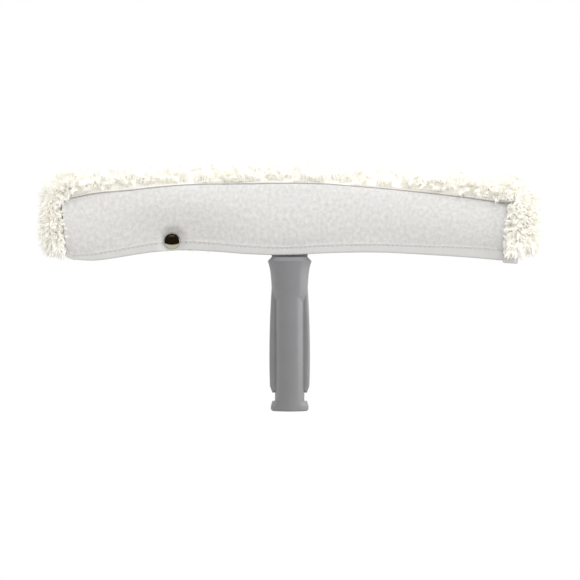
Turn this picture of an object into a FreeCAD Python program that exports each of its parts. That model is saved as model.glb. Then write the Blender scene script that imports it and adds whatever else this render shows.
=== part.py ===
import FreeCAD, Part
import os

import Sketcher

# Window scrubber: a plastic T-bar with a pole-socket handle, dressed in a plush sleeve whose felt back
# closes under the bar with one press stud.
# Millimetres. +Z is up, the felt back faces -Y, and the origin is the mouth of the pole socket.

SIZES = {
    # Handle moulding, heights measured up from the socket's mouth
    "handle_length": 137.5,
    "column_radius": 13.2,
    "column_foot_round": 1.5,
    "wing_thickness": 8.0,
    "wing_round": 3.4,
    "flange_half_width": 16.9,
    "flange_top_half_width": 15.7,
    "flange_taper_height": 4.4,
    "flange_height": 9.0,
    "flange_inset": 0.6,
    "flange_side_radius": 6.0,
    "notch_height": 7.4,
    "grip_foot_half_width": 15.5,
    "grip_low_half_width": 17.7,
    "grip_bevel_height": 6.0,
    "grip_half_width": 18.2,
    "grip_swell_height": 49.0,
    "waist_half_width": 16.2,
    "waist_half_depth": 13.5,
    "flare_height": 23.7,
    "flare_blend": 14.5,
    "flare_start_inset": 1.0,
    "collar_half_width": 19.8,
    "collar_half_depth": 15.0,
    "collar_bevel": 3.3,
    "flare_side_radius": 8.5,
    # Pole socket and the screw that holds the handle to the crossbar
    "socket_radius": 10.3,
    "spigot_length": 36.5,
    "screw_well_radius": 8.0,
    "screw_well_depth": 10.0,
    "screw_web": 6.0,
    "screw_radius": 2.4,
    "screw_length": 24.0,
    "screw_point": 3.0,
    "screw_head_radius": 4.6,
    "screw_head_height": 3.2,
    "screw_hole_clearance": 0.3,
    "pilot_clearance": 0.05,
    "washer_radius": 7.0,
    "washer_thickness": 1.2,
    # Crossbar moulding
    "bar_half_length": 193.0,
    "bar_thickness": 8.0,
    "bar_height": 25.0,
    "bar_flat_half_length": 45.0,
    "bar_belly_reach": 43.0,
    "bar_top_drop": 17.0,
    "bar_belly_drop": 12.0,
    "bar_end_round": 7.0,
    "stem_length": 34.5,
    "stem_half_width": 16.1,
    "stem_round": 9.0,
    "spigot_half_width": 11.0,
    "spigot_clearance": 0.15,
    "cell_start": 27.0,
    "cell_end_margin": 22.0,
    "cell_rib": 6.0,
    "cell_height": 12.0,
    "cell_depth": 3.0,
    # Plush cover, the sleeve's pile side
    "cover_left_margin": 31.0,
    "cover_right_margin": 32.5,
    "cover_gap": 7.5,
    "cover_rise": 24.0,
    "cover_left_drop": 5.0,
    "cover_right_drop": 10.0,
    "cover_corner": 18.5,
    "pile_height": 16.0,
    "backing_thickness": 2.0,
    "pile_round": 17.0,
    "lip_round": 7.0,
    "sleeve_clearance": 0.4,
    # Felt back panel and its top seam
    "felt_thickness": 2.0,
    "felt_gap": 0.4,
    "felt_lift": 0.3,
    "felt_left_margin": 6.5,
    "felt_right_margin": 4.5,
    "seam_rise": 4.6,
    "seam_left_flat": 85.0,
    "seam_right_flat": 45.0,
    "seam_left_drop": 12.5,
    "seam_right_drop": 17.0,
    "thread_thickness": 0.7,
    "fold_rise": 9.0,
    "fold_gap": 0.3,
    # Free lower edge of the felt and its tape
    "hem_drop": 2.5,
    "hem_rise": 9.4,
    "hem_corner": 5.5,
    "pucker_reach": 52.0,
    "pucker_gap": 0.5,
    "stem_clear": 3.0,
    "hem_dip": 105.0,
    "hem_turn": 150.0,
    "tape_width": 8.0,
    "tape_thickness": 0.6,
    "tape_tab": 6.0,
    "stitch_height": 6.3,
    "front_tape_width": 14.0,
    "front_tape_inset": 5.0,
    "front_stitch_height": 0.6,
    # Press stud
    "snap_left": 105.5,
    "snap_rise": 14.9,
    "cap_radius": 7.5,
    "cap_dome": 3.2,
    "cap_rim": 0.9,
    "cap_margin": 0.6,
    "post_radius": 2.0,
    "post_clearance": 0.05,
    "socket_ring_radius": 5.4,
    "socket_ring_depth": 3.0,
    "socket_ring_back": 0.5,
    "socket_ring_recess": 3.4,
    "spring_wire": 0.35,
    "spring_gap_angle": 40.0,
    "stud_flange_radius": 5.8,
    "stud_flange": 0.8,
    "stud_nipple": 2.6,
    "stud_radius": 2.0,
    "stud_tip_radius": 1.5,
    "stud_bore": 1.15,
    "snap_gap": 0.3,
    "nipple_gap": 0.5,
    "rivet_radius": 1.1,
    "rivet_flange": 0.8,
    "rivet_room": 0.2,
    # How far a cut runs past the face it opens
    "overrun": 5.0,
}

# Number of water cells in each arm of the crossbar
CELLS = 7

# Places and sizes that follow from those above: heights from the socket's mouth, reaches from the middle
FOLLOWING = {
    "waist_height": "handle_length - collar_bevel - flare_height",
    "flare_start_height": "waist_height - flare_blend",
    "socket_depth": "handle_length - spigot_length - screw_web - screw_well_depth",
    "bar_bottom": "handle_length + stem_length",
    "bar_top": "bar_bottom + bar_height",
    "bar_belly_half_length": "bar_half_length - bar_belly_reach",
    "cell_pitch": f"(bar_half_length - cell_end_margin - cell_start) / ({CELLS} - 1)",
    "cell_width": "cell_pitch - cell_rib",
    "cover_left": "bar_half_length + cover_left_margin",
    "cover_right": "bar_half_length + cover_right_margin",
    "cover_bottom": "handle_length + cover_gap",
    "cover_top": "bar_top + cover_rise",
    "felt_left": "bar_half_length + felt_left_margin",
    "felt_right": "bar_half_length + felt_right_margin",
    "seam_height": "bar_top + seam_rise",
    "fold_height": "bar_bottom + fold_rise",
    "hem_low": "handle_length - hem_drop",
    "snap_height": "handle_length + snap_rise",
}

# Edges this near to a plane count as lying in it
TOUCH = 1e-4

doc = FreeCAD.newDocument("WindowScrubber")
sheet = doc.addObject("Spreadsheet::Sheet", "Sizes")
contents = {alias: str(value) for alias, value in SIZES.items()}
contents.update({alias: "=" + formula for alias, formula in FOLLOWING.items()})
for row, alias in enumerate(contents, start=1):
    sheet.set(f"A{row}", alias)
    sheet.setAlias(f"B{row}", alias)
for row, content in enumerate(contents.values(), start=1):
    sheet.set(f"B{row}", content)
doc.recompute()


def number(expression):
    """Value of an expression over the sheet's cells."""
    return float(sheet.evalExpression(expression))


# Places that several pieces share, as expressions over the sheet
BAR_FACE = "Sizes.bar_thickness / 2"
FELT_INNER = f"-({BAR_FACE} + Sizes.felt_gap)"
FELT_OUTER = f"({FELT_INNER} - Sizes.felt_thickness)"
LIP_FACE = f"({FELT_INNER} + Sizes.felt_lift)"
STUD_HEIGHT = "(Sizes.stud_flange + Sizes.stud_nipple)"
STUD_SEAT = f"({BAR_FACE} + Sizes.nipple_gap + {STUD_HEIGHT})"
FRONT_INNER = f"({STUD_SEAT} + Sizes.tape_thickness)"
FRONT_BACKING = f"({FRONT_INNER} + Sizes.backing_thickness)"
PILE_FACE = f"({FRONT_BACKING} + Sizes.pile_height)"
SOCKET_MOUTH = f"({STUD_SEAT} - Sizes.stud_flange - Sizes.snap_gap)"
SOCKET_BACK = f"({SOCKET_MOUTH} - Sizes.socket_ring_depth)"
PUCKER = f"({SOCKET_BACK} - ({FELT_INNER}))"
CAP_BASE = f"({SOCKET_BACK} - Sizes.felt_thickness - Sizes.tape_thickness)"
WEB_BOTTOM = "(Sizes.socket_depth + Sizes.screw_well_depth)"
SPIGOT_FOOT = f"({WEB_BOTTOM} + Sizes.screw_web)"


def bind(target, settings):
    """Tie each named property of an object to its expression."""
    for name, expression in settings.items():
        target.setExpression(name, expression)


def new_body(label):
    return doc.addObject("PartDesign::Body", label)


def new_sketch(body, role, name, lift="0"):
    """Sketch on one of the body's own planes, moved along the plane's normal by lift."""
    sketch = body.newObject("Sketcher::SketchObject", name)
    plane = next(item for item in body.Origin.OriginFeatures if item.Role == role)
    sketch.AttachmentSupport = [(plane, "")]
    sketch.MapMode = "FlatFace"
    sketch.setExpression(".AttachmentOffset.Base.z", lift)
    return sketch


def arc_between(start, end, radius, turn):
    """Arc of the given radius, under a half circle, that turns left (1) or right (-1)."""
    chord = end - start
    middle = (start + end) / 2
    side = FreeCAD.Vector(chord.y, -chord.x, 0).normalize() * turn
    rise = radius - (radius ** 2 - (chord.Length / 2) ** 2) ** 0.5
    return Part.Arc(start, middle + side * rise, end)


def fix_point(sketch, index, place, expressions):
    """Hold one end of a line or arc at a place worked out from the sheet."""
    for axis, along, expression in zip(("X", "Y"), (-2, -1), expressions):
        if expression == "0":
            sketch.addConstraint(Sketcher.Constraint("PointOnObject", index, place, along))
            continue
        held = Sketcher.Constraint("Distance" + axis, -1, 1, index, place, number(expression))
        name = f"corner_{sketch.ConstraintCount}_{axis}"
        sketch.renameConstraint(sketch.addConstraint(held), name)
        sketch.setExpression("Constraints." + name, expression)


def nearest_end(sketch, index, point):
    """Which end of a line or arc, 1 or 2, lies at a point."""
    return min((1, 2), key=lambda place: sketch.getPoint(index, place).distanceToPoint(point))


def draw_outline(sketch, corners):
    """Closed outline of corners (x, y), or (x, y, radius, turn) where an arc leaves the corner."""
    first = sketch.GeometryCount
    points = [FreeCAD.Vector(number(corner[0]), number(corner[1]), 0) for corner in corners]
    for index, corner in enumerate(corners):
        start = points[index]
        end = points[(index + 1) % len(points)]
        if len(corner) == 2:
            sketch.addGeometry(Part.LineSegment(start, end))
            continue
        sketch.addGeometry(arc_between(start, end, number(corner[2]), corner[3]))
        name = f"radius_{sketch.GeometryCount}"
        held = Sketcher.Constraint("Radius", sketch.GeometryCount - 1, number(corner[2]))
        sketch.renameConstraint(sketch.addConstraint(held), name)
        sketch.setExpression("Constraints." + name, corner[2])
    for index, corner in enumerate(corners):
        leaving = first + index
        arriving = first + (index - 1) % len(corners)
        near_end = nearest_end(sketch, leaving, points[index])
        far_end = nearest_end(sketch, arriving, points[index])
        sketch.addConstraint(Sketcher.Constraint("Coincident", arriving, far_end, leaving, near_end))
        fix_point(sketch, leaving, near_end, corner[:2])


def draw_circle(sketch, x, y, radius):
    """Circle whose centre and radius follow the sheet."""
    centre = FreeCAD.Vector(number(x), number(y), 0)
    index = sketch.addGeometry(Part.Circle(centre, FreeCAD.Vector(0, 0, 1), number(radius)))
    name = f"radius_{index}"
    held = Sketcher.Constraint("Radius", index, number(radius))
    sketch.renameConstraint(sketch.addConstraint(held), name)
    sketch.setExpression("Constraints." + name, radius)
    fix_point(sketch, index, 3, (x, y))


def rectangle(left, right, low, high):
    return [(left, low), (right, low), (right, high), (left, high)]


def two_sided(feature, towards_back, towards_front):
    """Length of a pad or pocket towards -Y and towards +Y, from a sketch on the XZ plane."""
    feature.SideType = "Two sides"
    lengths = (towards_back, towards_front)
    if feature.TypeId == "PartDesign::Pocket":
        lengths = (towards_front, towards_back)
    bind(feature, {"Length": lengths[0], "Length2": lengths[1]})


def add_feature(body, kind, name, sketch):
    feature = body.newObject("PartDesign::" + kind, name)
    feature.Profile = sketch
    return feature


def add_round(body, base, name, chosen, radius):
    """Fillet on the base's edges that the test picks out."""
    doc.recompute()
    edges = [f"Edge{i}" for i, edge in enumerate(base.Shape.Edges, start=1) if chosen(edge)]
    fillet = body.newObject("PartDesign::Fillet", name)
    fillet.Base = (base, edges)
    fillet.setExpression("Radius", radius)
    return fillet


def lies_at(edge, axis, value):
    """True where an edge lies whole in the plane at value along an axis, x, y or z."""
    box = edge.BoundBox
    low = getattr(box, axis.upper() + "Min")
    high = getattr(box, axis.upper() + "Max")
    return abs(low - value) < TOUCH and abs(high - value) < TOUCH


def turned(label, role, profile):
    """Piece turned about the up axis of its sketch, from a half profile."""
    body = new_body(label)
    sketch = new_sketch(body, role, label + "_profile")
    draw_outline(sketch, profile)
    spin = add_feature(body, "Revolution", label + "_turn", sketch)
    spin.ReferenceAxis = (sketch, ["V_Axis"])
    return body


def tangent_radius(reach, drop):
    """Radius of an arc that leaves a level run and drops by drop over reach."""
    return f"((({reach})^2 + ({drop})^2) / (2 * ({drop})))"


def level_drop(along, flat, reach, drop):
    """How far that arc has dropped at a distance along."""
    radius = tangent_radius(reach, drop)
    return f"({radius} - sqrt({radius}^2 - max(0; {along} - {flat})^2))"


def seam_curve(offset):
    """Corners of the arched top seam, right end to left end, raised by offset."""
    right_reach = "(Sizes.felt_right - Sizes.seam_right_flat)"
    left_reach = "(Sizes.felt_left - Sizes.seam_left_flat)"
    top = f"(Sizes.seam_height + {offset})"
    right_arc = tangent_radius(right_reach, "Sizes.seam_right_drop")
    left_arc = tangent_radius(left_reach, "Sizes.seam_left_drop")
    return {
        "right": ("Sizes.felt_right", f"{top} - Sizes.seam_right_drop"),
        "right_flat": ("Sizes.seam_right_flat", top),
        "left_flat": ("-Sizes.seam_left_flat", top),
        "left": ("-Sizes.felt_left", f"{top} - Sizes.seam_left_drop"),
        "right_radius": right_arc,
        "left_radius": left_arc,
    }


def draw_oval(sketch, half_width, half_depth, side_radius):
    """Oval of four arcs that run into each other, the round sides of the given radius."""
    long_radius = (f"((({half_width} - {side_radius})^2 + ({half_depth})^2 - ({side_radius})^2)"
                   f" / (2 * ({half_depth} - {side_radius})))")
    span = f"({long_radius} - {side_radius})"
    x = f"({half_width} - {side_radius}) * (1 + {side_radius} / {span})"
    y = f"{side_radius} * ({long_radius} - {half_depth}) / {span}"
    draw_outline(sketch, [
        (f"-({x})", f"-({y})", long_radius, 1),
        (x, f"-({y})", side_radius, 1),
        (x, y, long_radius, 1),
        (f"-({x})", y, side_radius, 1),
    ])


# Handle: a round column that takes the pole, with an oval foot, grip wings at its two sides and a flared collar
def make_handle():
    body = new_body("handle")
    low = "(Sizes.flange_height + Sizes.notch_height)"
    grip_foot = f"({low} + Sizes.grip_bevel_height)"
    collar = "(Sizes.handle_length - Sizes.collar_bevel)"
    swell_up = "(Sizes.waist_height - Sizes.grip_swell_height)"
    grip_arc = tangent_radius(swell_up, "(Sizes.grip_half_width - Sizes.waist_half_width)")
    swell_down = f"(Sizes.grip_swell_height - {grip_foot})"
    low_arc = tangent_radius(swell_down, "(Sizes.grip_half_width - Sizes.grip_low_half_width)")
    wing_top = "(Sizes.waist_height + Sizes.wing_round)"
    wing_shoulder = "(Sizes.waist_half_width - Sizes.wing_round)"
    wings = new_sketch(body, "XZ_Plane", "wing_outline")
    draw_outline(wings, [
        ("-Sizes.grip_foot_half_width", low),
        ("Sizes.grip_foot_half_width", low),
        ("Sizes.grip_low_half_width", grip_foot, low_arc, 1),
        ("Sizes.grip_half_width", "Sizes.grip_swell_height", grip_arc, 1),
        ("Sizes.waist_half_width", "Sizes.waist_height"),
        (wing_shoulder, wing_top),
        (f"-{wing_shoulder}", wing_top),
        ("-Sizes.waist_half_width", "Sizes.waist_height", grip_arc, 1),
        ("-Sizes.grip_half_width", "Sizes.grip_swell_height", low_arc, 1),
        ("-Sizes.grip_low_half_width", grip_foot),
    ])
    plate = add_feature(body, "Pad", "wing_plate", wings)
    plate.SideType = "Symmetric"
    plate.setExpression("Length", "Sizes.wing_thickness")
    face = number("Sizes.wing_thickness / 2")
    waist = number("Sizes.waist_height")

    def at_wing_face(edge):
        below_waist = edge.BoundBox.ZMax < waist + TOUCH
        return below_waist and (lies_at(edge, "y", -face) or lies_at(edge, "y", face))

    add_round(body, plate, "wing_edges", at_wing_face, "Sizes.wing_round")

    column = new_sketch(body, "XZ_Plane", "column_profile")
    foot = "(Sizes.column_radius - Sizes.column_foot_round)"
    draw_outline(column, [
        ("0", "0"),
        (foot, "0", "Sizes.column_foot_round", 1),
        ("Sizes.column_radius", "Sizes.column_foot_round"),
        ("Sizes.column_radius", "Sizes.waist_height"),
        ("0", "Sizes.waist_height"),
    ])
    spin = add_feature(body, "Revolution", "column", column)
    spin.ReferenceAxis = (column, ["V_Axis"])

    flare_middle = f"((Sizes.waist_height + {collar}) / 2)"
    flare_rise = "(Sizes.collar_half_width - Sizes.waist_half_width)"
    flare_gain = level_drop(flare_middle, "Sizes.waist_height", f"({collar} - Sizes.waist_height)", flare_rise)
    middle_depth = "((Sizes.waist_half_depth + Sizes.collar_half_depth) / 2)"
    start_depth = "(Sizes.column_radius - Sizes.flare_start_inset)"
    neck = "(Sizes.collar_half_width - Sizes.collar_bevel)"
    neck_depth = "(Sizes.collar_half_depth - Sizes.collar_bevel)"
    ovals = {
        "flare_start": ("Sizes.flare_start_height", "Sizes.column_radius", start_depth),
        "flare_waist": ("Sizes.waist_height", "Sizes.waist_half_width", "Sizes.waist_half_depth"),
        "flare_middle": (flare_middle, f"(Sizes.waist_half_width + {flare_gain})", middle_depth),
        "flare_collar": (collar, "Sizes.collar_half_width", "Sizes.collar_half_depth"),
        "bevel_foot": (collar, "Sizes.collar_half_width", "Sizes.collar_half_depth"),
        "bevel_top": ("Sizes.handle_length", neck, neck_depth),
    }
    rings = {}
    for name, (height, half_width, half_depth) in ovals.items():
        rings[name] = new_sketch(body, "XY_Plane", name, height)
        draw_oval(rings[name], half_width, half_depth, "Sizes.flare_side_radius")
    flare = add_feature(body, "AdditiveLoft", "flare", rings["flare_start"])
    flare.Sections = [rings["flare_waist"], rings["flare_middle"], rings["flare_collar"]]
    bevel = add_feature(body, "AdditiveLoft", "collar_bevel", rings["bevel_foot"])
    bevel.Sections = [rings["bevel_top"]]

    flange_depth = "(Sizes.column_radius - Sizes.flange_inset)"
    flange_ovals = {
        "flange_foot": ("0", "(Sizes.flange_half_width - Sizes.column_foot_round)",
                        f"({flange_depth} - Sizes.column_foot_round)"),
        "flange_low": ("Sizes.column_foot_round", "Sizes.flange_half_width", flange_depth),
        "flange_taper": ("Sizes.flange_taper_height", "Sizes.flange_half_width", flange_depth),
        "flange_top": ("Sizes.flange_height", "Sizes.flange_top_half_width", flange_depth),
    }
    for name, (height, half_width, half_depth) in flange_ovals.items():
        rings[name] = new_sketch(body, "XY_Plane", name, height)
        draw_oval(rings[name], half_width, half_depth, "Sizes.flange_side_radius")
    flange = add_feature(body, "AdditiveLoft", "foot_flange", rings["flange_foot"])
    flange.Sections = [rings["flange_low"], rings["flange_taper"], rings["flange_top"]]
    flange.Ruled = True

    bore = new_sketch(body, "XZ_Plane", "bore_profile")
    hole = "(Sizes.screw_radius + Sizes.screw_hole_clearance)"
    draw_outline(bore, [
        ("0", "-Sizes.overrun"),
        ("Sizes.socket_radius", "-Sizes.overrun"),
        ("Sizes.socket_radius", "Sizes.socket_depth"),
        ("Sizes.screw_well_radius", "Sizes.socket_depth"),
        ("Sizes.screw_well_radius", WEB_BOTTOM),
        (hole, WEB_BOTTOM),
        (hole, SPIGOT_FOOT),
        ("0", SPIGOT_FOOT),
    ])
    groove = add_feature(body, "Groove", "pole_bore", bore)
    groove.ReferenceAxis = (bore, ["V_Axis"])

    mortise = new_sketch(body, "XZ_Plane", "mortise_outline")
    half = "(Sizes.spigot_half_width + Sizes.spigot_clearance)"
    draw_outline(mortise, rectangle(f"-{half}", half, SPIGOT_FOOT, "Sizes.handle_length + Sizes.overrun"))
    pocket = add_feature(body, "Pocket", "mortise", mortise)
    pocket.SideType = "Symmetric"
    pocket.setExpression("Length", "Sizes.bar_thickness + 2 * Sizes.spigot_clearance")
    return body


# Crossbar: one moulding with a bowed bar, its stem, and a spigot that plugs into the handle
def make_crossbar():
    body = new_body("crossbar")
    reach = "(Sizes.bar_half_length - Sizes.bar_flat_half_length)"
    belly_reach = "(Sizes.bar_half_length - Sizes.bar_belly_half_length)"
    top_arc = tangent_radius(reach, "Sizes.bar_top_drop")
    belly_arc = tangent_radius(belly_reach, "Sizes.bar_belly_drop")
    end_top = "(Sizes.bar_top - Sizes.bar_top_drop)"
    end_bottom = "(Sizes.bar_bottom - Sizes.bar_belly_drop)"
    spigot_foot = f"({SPIGOT_FOOT} + Sizes.spigot_clearance)"
    outline = new_sketch(body, "XZ_Plane", "bar_outline")
    draw_outline(outline, [
        ("-Sizes.spigot_half_width", spigot_foot),
        ("Sizes.spigot_half_width", spigot_foot),
        ("Sizes.spigot_half_width", "Sizes.handle_length"),
        ("Sizes.stem_half_width", "Sizes.handle_length"),
        ("Sizes.stem_half_width", "Sizes.bar_bottom"),
        ("Sizes.bar_belly_half_length", "Sizes.bar_bottom", belly_arc, -1),
        ("Sizes.bar_half_length", end_bottom),
        ("Sizes.bar_half_length", end_top, top_arc, 1),
        ("Sizes.bar_flat_half_length", "Sizes.bar_top"),
        ("-Sizes.bar_flat_half_length", "Sizes.bar_top", top_arc, 1),
        ("-Sizes.bar_half_length", end_top),
        ("-Sizes.bar_half_length", end_bottom, belly_arc, -1),
        ("-Sizes.bar_belly_half_length", "Sizes.bar_bottom"),
        ("-Sizes.stem_half_width", "Sizes.bar_bottom"),
        ("-Sizes.stem_half_width", "Sizes.handle_length"),
        ("-Sizes.spigot_half_width", "Sizes.handle_length"),
    ])
    bar = add_feature(body, "Pad", "bar", outline)
    bar.SideType = "Symmetric"
    bar.setExpression("Length", "Sizes.bar_thickness")
    end = number("Sizes.bar_half_length")
    stem = number("Sizes.stem_half_width")
    bottom = number("Sizes.bar_bottom")

    def at_bar_end(edge):
        return lies_at(edge, "x", end) or lies_at(edge, "x", -end)

    def at_stem_root(edge):
        return lies_at(edge, "z", bottom) and (lies_at(edge, "x", stem) or lies_at(edge, "x", -stem))

    def runs_through(edge):
        return edge.BoundBox.YLength > number(BAR_FACE)

    ends = add_round(body, bar, "bar_ends", lambda edge: at_bar_end(edge) and runs_through(edge),
                     "Sizes.bar_end_round")
    add_round(body, ends, "stem_root", at_stem_root, "Sizes.stem_round")

    cells = new_sketch(body, "XZ_Plane", "cell_outlines", BAR_FACE)
    for side in ("", "-"):
        for index in range(CELLS):
            along = f"(Sizes.cell_start + {index} * Sizes.cell_pitch)"
            top = level_drop(along, "Sizes.bar_flat_half_length", reach, "Sizes.bar_top_drop")
            belly = level_drop(along, "Sizes.bar_belly_half_length", belly_reach, "Sizes.bar_belly_drop")
            middle = f"((Sizes.bar_top - {top} + Sizes.bar_bottom - {belly}) / 2)"
            draw_outline(cells, rectangle(f"{side}({along} - Sizes.cell_width / 2)",
                                          f"{side}({along} + Sizes.cell_width / 2)",
                                          f"{middle} - Sizes.cell_height / 2",
                                          f"{middle} + Sizes.cell_height / 2"))
    pocket = add_feature(body, "Pocket", "water_cells", cells)
    pocket.setExpression("Length", "Sizes.cell_depth")

    pilot = new_sketch(body, "XZ_Plane", "pilot_profile")
    hole = "(Sizes.screw_radius + Sizes.pilot_clearance)"
    screw_tip = f"({WEB_BOTTOM} - Sizes.washer_thickness + Sizes.screw_length)"
    draw_outline(pilot, [
        ("0", f"{SPIGOT_FOOT} - Sizes.overrun"),
        (hole, f"{SPIGOT_FOOT} - Sizes.overrun"),
        (hole, f"{screw_tip} + Sizes.screw_hole_clearance"),
        ("0", f"{screw_tip} + Sizes.screw_hole_clearance"),
    ])
    groove = add_feature(body, "Groove", "pilot_hole", pilot)
    groove.ReferenceAxis = (pilot, ["V_Axis"])

    doc.recompute()
    mirrored = body.newObject("PartDesign::Mirrored", "cells_both_faces")
    mirrored.Originals = [pocket]
    mid_plane = next(item for item in body.Origin.OriginFeatures if item.Role == "XZ_Plane")
    mirrored.MirrorPlane = (mid_plane, [""])
    body.Tip = mirrored
    return body


# Screw, driven up through the handle's web into the spigot
def make_screw():
    seat = "0"
    head = "-Sizes.screw_head_height"
    neck = "(Sizes.screw_length - Sizes.screw_point)"
    body = turned("handle_screw", "XZ_Plane", [
        ("0", head),
        ("Sizes.screw_head_radius - Sizes.screw_head_height / 2", head),
        ("Sizes.screw_head_radius", f"{head} / 2"),
        ("Sizes.screw_head_radius", seat),
        ("Sizes.screw_radius", seat),
        ("Sizes.screw_radius", neck),
        ("Sizes.screw_radius / 2", "Sizes.screw_length"),
        ("0", "Sizes.screw_length"),
    ])
    bind(body, {"Placement.Base.z": f"{WEB_BOTTOM} - Sizes.washer_thickness"})
    return body


# Washer that spreads the screw's pull under the handle's web
def make_washer():
    hole = "(Sizes.screw_radius + Sizes.screw_hole_clearance)"
    body = turned("handle_washer", "XZ_Plane",
                  rectangle(hole, "Sizes.washer_radius", "0", "Sizes.washer_thickness"))
    bind(body, {"Placement.Base.z": f"{WEB_BOTTOM} - Sizes.washer_thickness"})
    return body


# Plush cover: pile over the front, the top and both ends, hollow for the bar and open below
def make_plush_cover():
    body = new_body("plush_cover")
    right_reach = "(Sizes.cover_right - Sizes.seam_right_flat)"
    left_reach = "(Sizes.cover_left - Sizes.seam_left_flat)"
    outline = new_sketch(body, "XZ_Plane", "cover_outline")
    draw_outline(outline, [
        ("-Sizes.cover_left", "Sizes.cover_bottom"),
        ("Sizes.cover_right", "Sizes.cover_bottom"),
        ("Sizes.cover_right", "Sizes.cover_top - Sizes.cover_right_drop",
         tangent_radius(right_reach, "Sizes.cover_right_drop"), 1),
        ("Sizes.seam_right_flat", "Sizes.cover_top"),
        ("-Sizes.seam_left_flat", "Sizes.cover_top",
         tangent_radius(left_reach, "Sizes.cover_left_drop"), 1),
        ("-Sizes.cover_left", "Sizes.cover_top - Sizes.cover_left_drop"),
    ])
    slab = add_feature(body, "Pad", "cover_slab", outline)
    two_sided(slab, f"-{LIP_FACE}", PILE_FACE)
    left = -number("Sizes.cover_left")
    right = number("Sizes.cover_right")
    back = number(LIP_FACE)
    front = number(PILE_FACE)

    def at_corner(edge):
        upright = edge.BoundBox.YLength > front
        return upright and (lies_at(edge, "x", left) or lies_at(edge, "x", right))

    corners = add_round(body, slab, "cover_corners", at_corner, "Sizes.cover_corner")
    crown = add_round(body, corners, "pile_crown", lambda edge: lies_at(edge, "y", front), "Sizes.pile_round")
    add_round(body, crown, "lip_edge", lambda edge: lies_at(edge, "y", back), "Sizes.lip_round")

    cavity = new_sketch(body, "XZ_Plane", "cavity_outline")
    room = "Sizes.sleeve_clearance"
    reach = f"(Sizes.bar_half_length + {room} - Sizes.bar_flat_half_length)"
    arc = tangent_radius(reach, "Sizes.bar_top_drop")
    end = f"(Sizes.bar_half_length + {room})"
    below = "(Sizes.cover_bottom - Sizes.overrun)"
    draw_outline(cavity, [
        (f"-{end}", below),
        (end, below),
        (end, f"Sizes.bar_top - Sizes.bar_top_drop + {room}", arc, 1),
        ("Sizes.bar_flat_half_length", f"Sizes.bar_top + {room}"),
        ("-Sizes.bar_flat_half_length", f"Sizes.bar_top + {room}", arc, 1),
        (f"-{end}", f"Sizes.bar_top - Sizes.bar_top_drop + {room}"),
    ])
    pocket = add_feature(body, "Pocket", "bar_room", cavity)
    two_sided(pocket, f"-{LIP_FACE} + Sizes.overrun", FRONT_INNER)

    shank = new_sketch(body, "XZ_Plane", "rivet_hole", f"-{FRONT_INNER} + Sizes.overrun")
    draw_circle(shank, "-Sizes.snap_left", "Sizes.snap_height", "Sizes.rivet_radius + Sizes.rivet_room")
    hole = add_feature(body, "Pocket", "rivet_way", shank)
    hole.setExpression("Length", "Sizes.overrun + Sizes.backing_thickness")
    seat = new_sketch(body, "XZ_Plane", "rivet_seat", f"-{FRONT_BACKING}")
    draw_circle(seat, "-Sizes.snap_left", "Sizes.snap_height", "Sizes.stud_flange_radius + Sizes.rivet_room")
    nest = add_feature(body, "Pocket", "rivet_nest", seat)
    nest.setExpression("Length", "Sizes.rivet_flange + Sizes.rivet_room")
    return body


# Upper felt: the part of the back panel that stays sewn to the cover, between the arched seam and the fold
def make_felt_top():
    body = new_body("felt_top")
    seam = seam_curve("0")
    fold = "(Sizes.fold_height + Sizes.fold_gap)"
    outline = new_sketch(body, "XZ_Plane", "felt_top_outline", f"-{FELT_INNER}")
    draw_outline(outline, [
        ("-Sizes.felt_left", fold),
        ("Sizes.felt_right", fold),
        (*seam["right"], seam["right_radius"], 1),
        seam["right_flat"],
        (*seam["left_flat"], seam["left_radius"], 1),
        seam["left"],
    ])
    pad = add_feature(body, "Pad", "felt_top_sheet", outline)
    pad.setExpression("Length", "Sizes.felt_thickness")
    return body


# Seam thread that closes the felt's arched top edge onto the cover's lip
def make_top_seam_thread():
    body = new_body("top_seam_thread")
    low = seam_curve("0")
    high = seam_curve("Sizes.thread_thickness")
    band = new_sketch(body, "XZ_Plane", "seam_band", f"-{LIP_FACE}")
    draw_outline(band, [
        (*low["left"], low["left_radius"], -1),
        low["left_flat"],
        (*low["right_flat"], low["right_radius"], -1),
        low["right"],
        (*high["right"], high["right_radius"], 1),
        high["right_flat"],
        (*high["left_flat"], high["left_radius"], 1),
        high["left"],
    ])
    pad = add_feature(body, "Pad", "seam_cord", band)
    pad.setExpression("Length", "Sizes.thread_thickness + Sizes.felt_lift")
    return body


def size(alias):
    return float(sheet.get(alias))


def hem_stations():
    """Places along the felt's lower edge: x, how far the edge is drawn in, and its height."""
    snap = -size("snap_left")
    flat = size("cap_radius") + size("cap_margin") + size("socket_ring_depth")
    stem = size("stem_half_width") + size("stem_clear")
    # Shares of the pucker at the press stud, and of the hem's whole rise
    station_shares = [
        (-size("felt_left"), 0.0, 0.43),
        (size("hem_corner") - size("felt_left"), 0.0, 0.1),
        (snap - size("pucker_reach"), 0.12, 0.25),
        (snap - flat, 1.0, 1.0),
        (snap + flat, 1.0, 1.0),
        (snap + size("pucker_reach"), 0.15, 0.78),
        (-stem, 0.0, 0.6),
        (stem, 0.0, 0.66),
        (size("seam_right_flat"), 0.0, 0.78),
        (size("hem_dip"), 0.0, 0.68),
        (size("hem_turn"), 0.0, 0.43),
        (size("felt_right"), 0.0, 0.0),
    ]
    pucker = number(PUCKER)
    return [(x, pucker * inset, size("hem_low") + size("hem_rise") * rise)
            for x, inset, rise in station_shares]


def loft_along_hem(stations, section):
    """Solid through one section of (y, z) points at each station, straight from each to the next."""
    wires = []
    for x, inset, height in stations:
        points = [FreeCAD.Vector(x, y, z) for y, z in section(inset, height)]
        wires.append(Part.makePolygon(points + points[:1]))
    return Part.makeLoft(wires, True, True)


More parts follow.
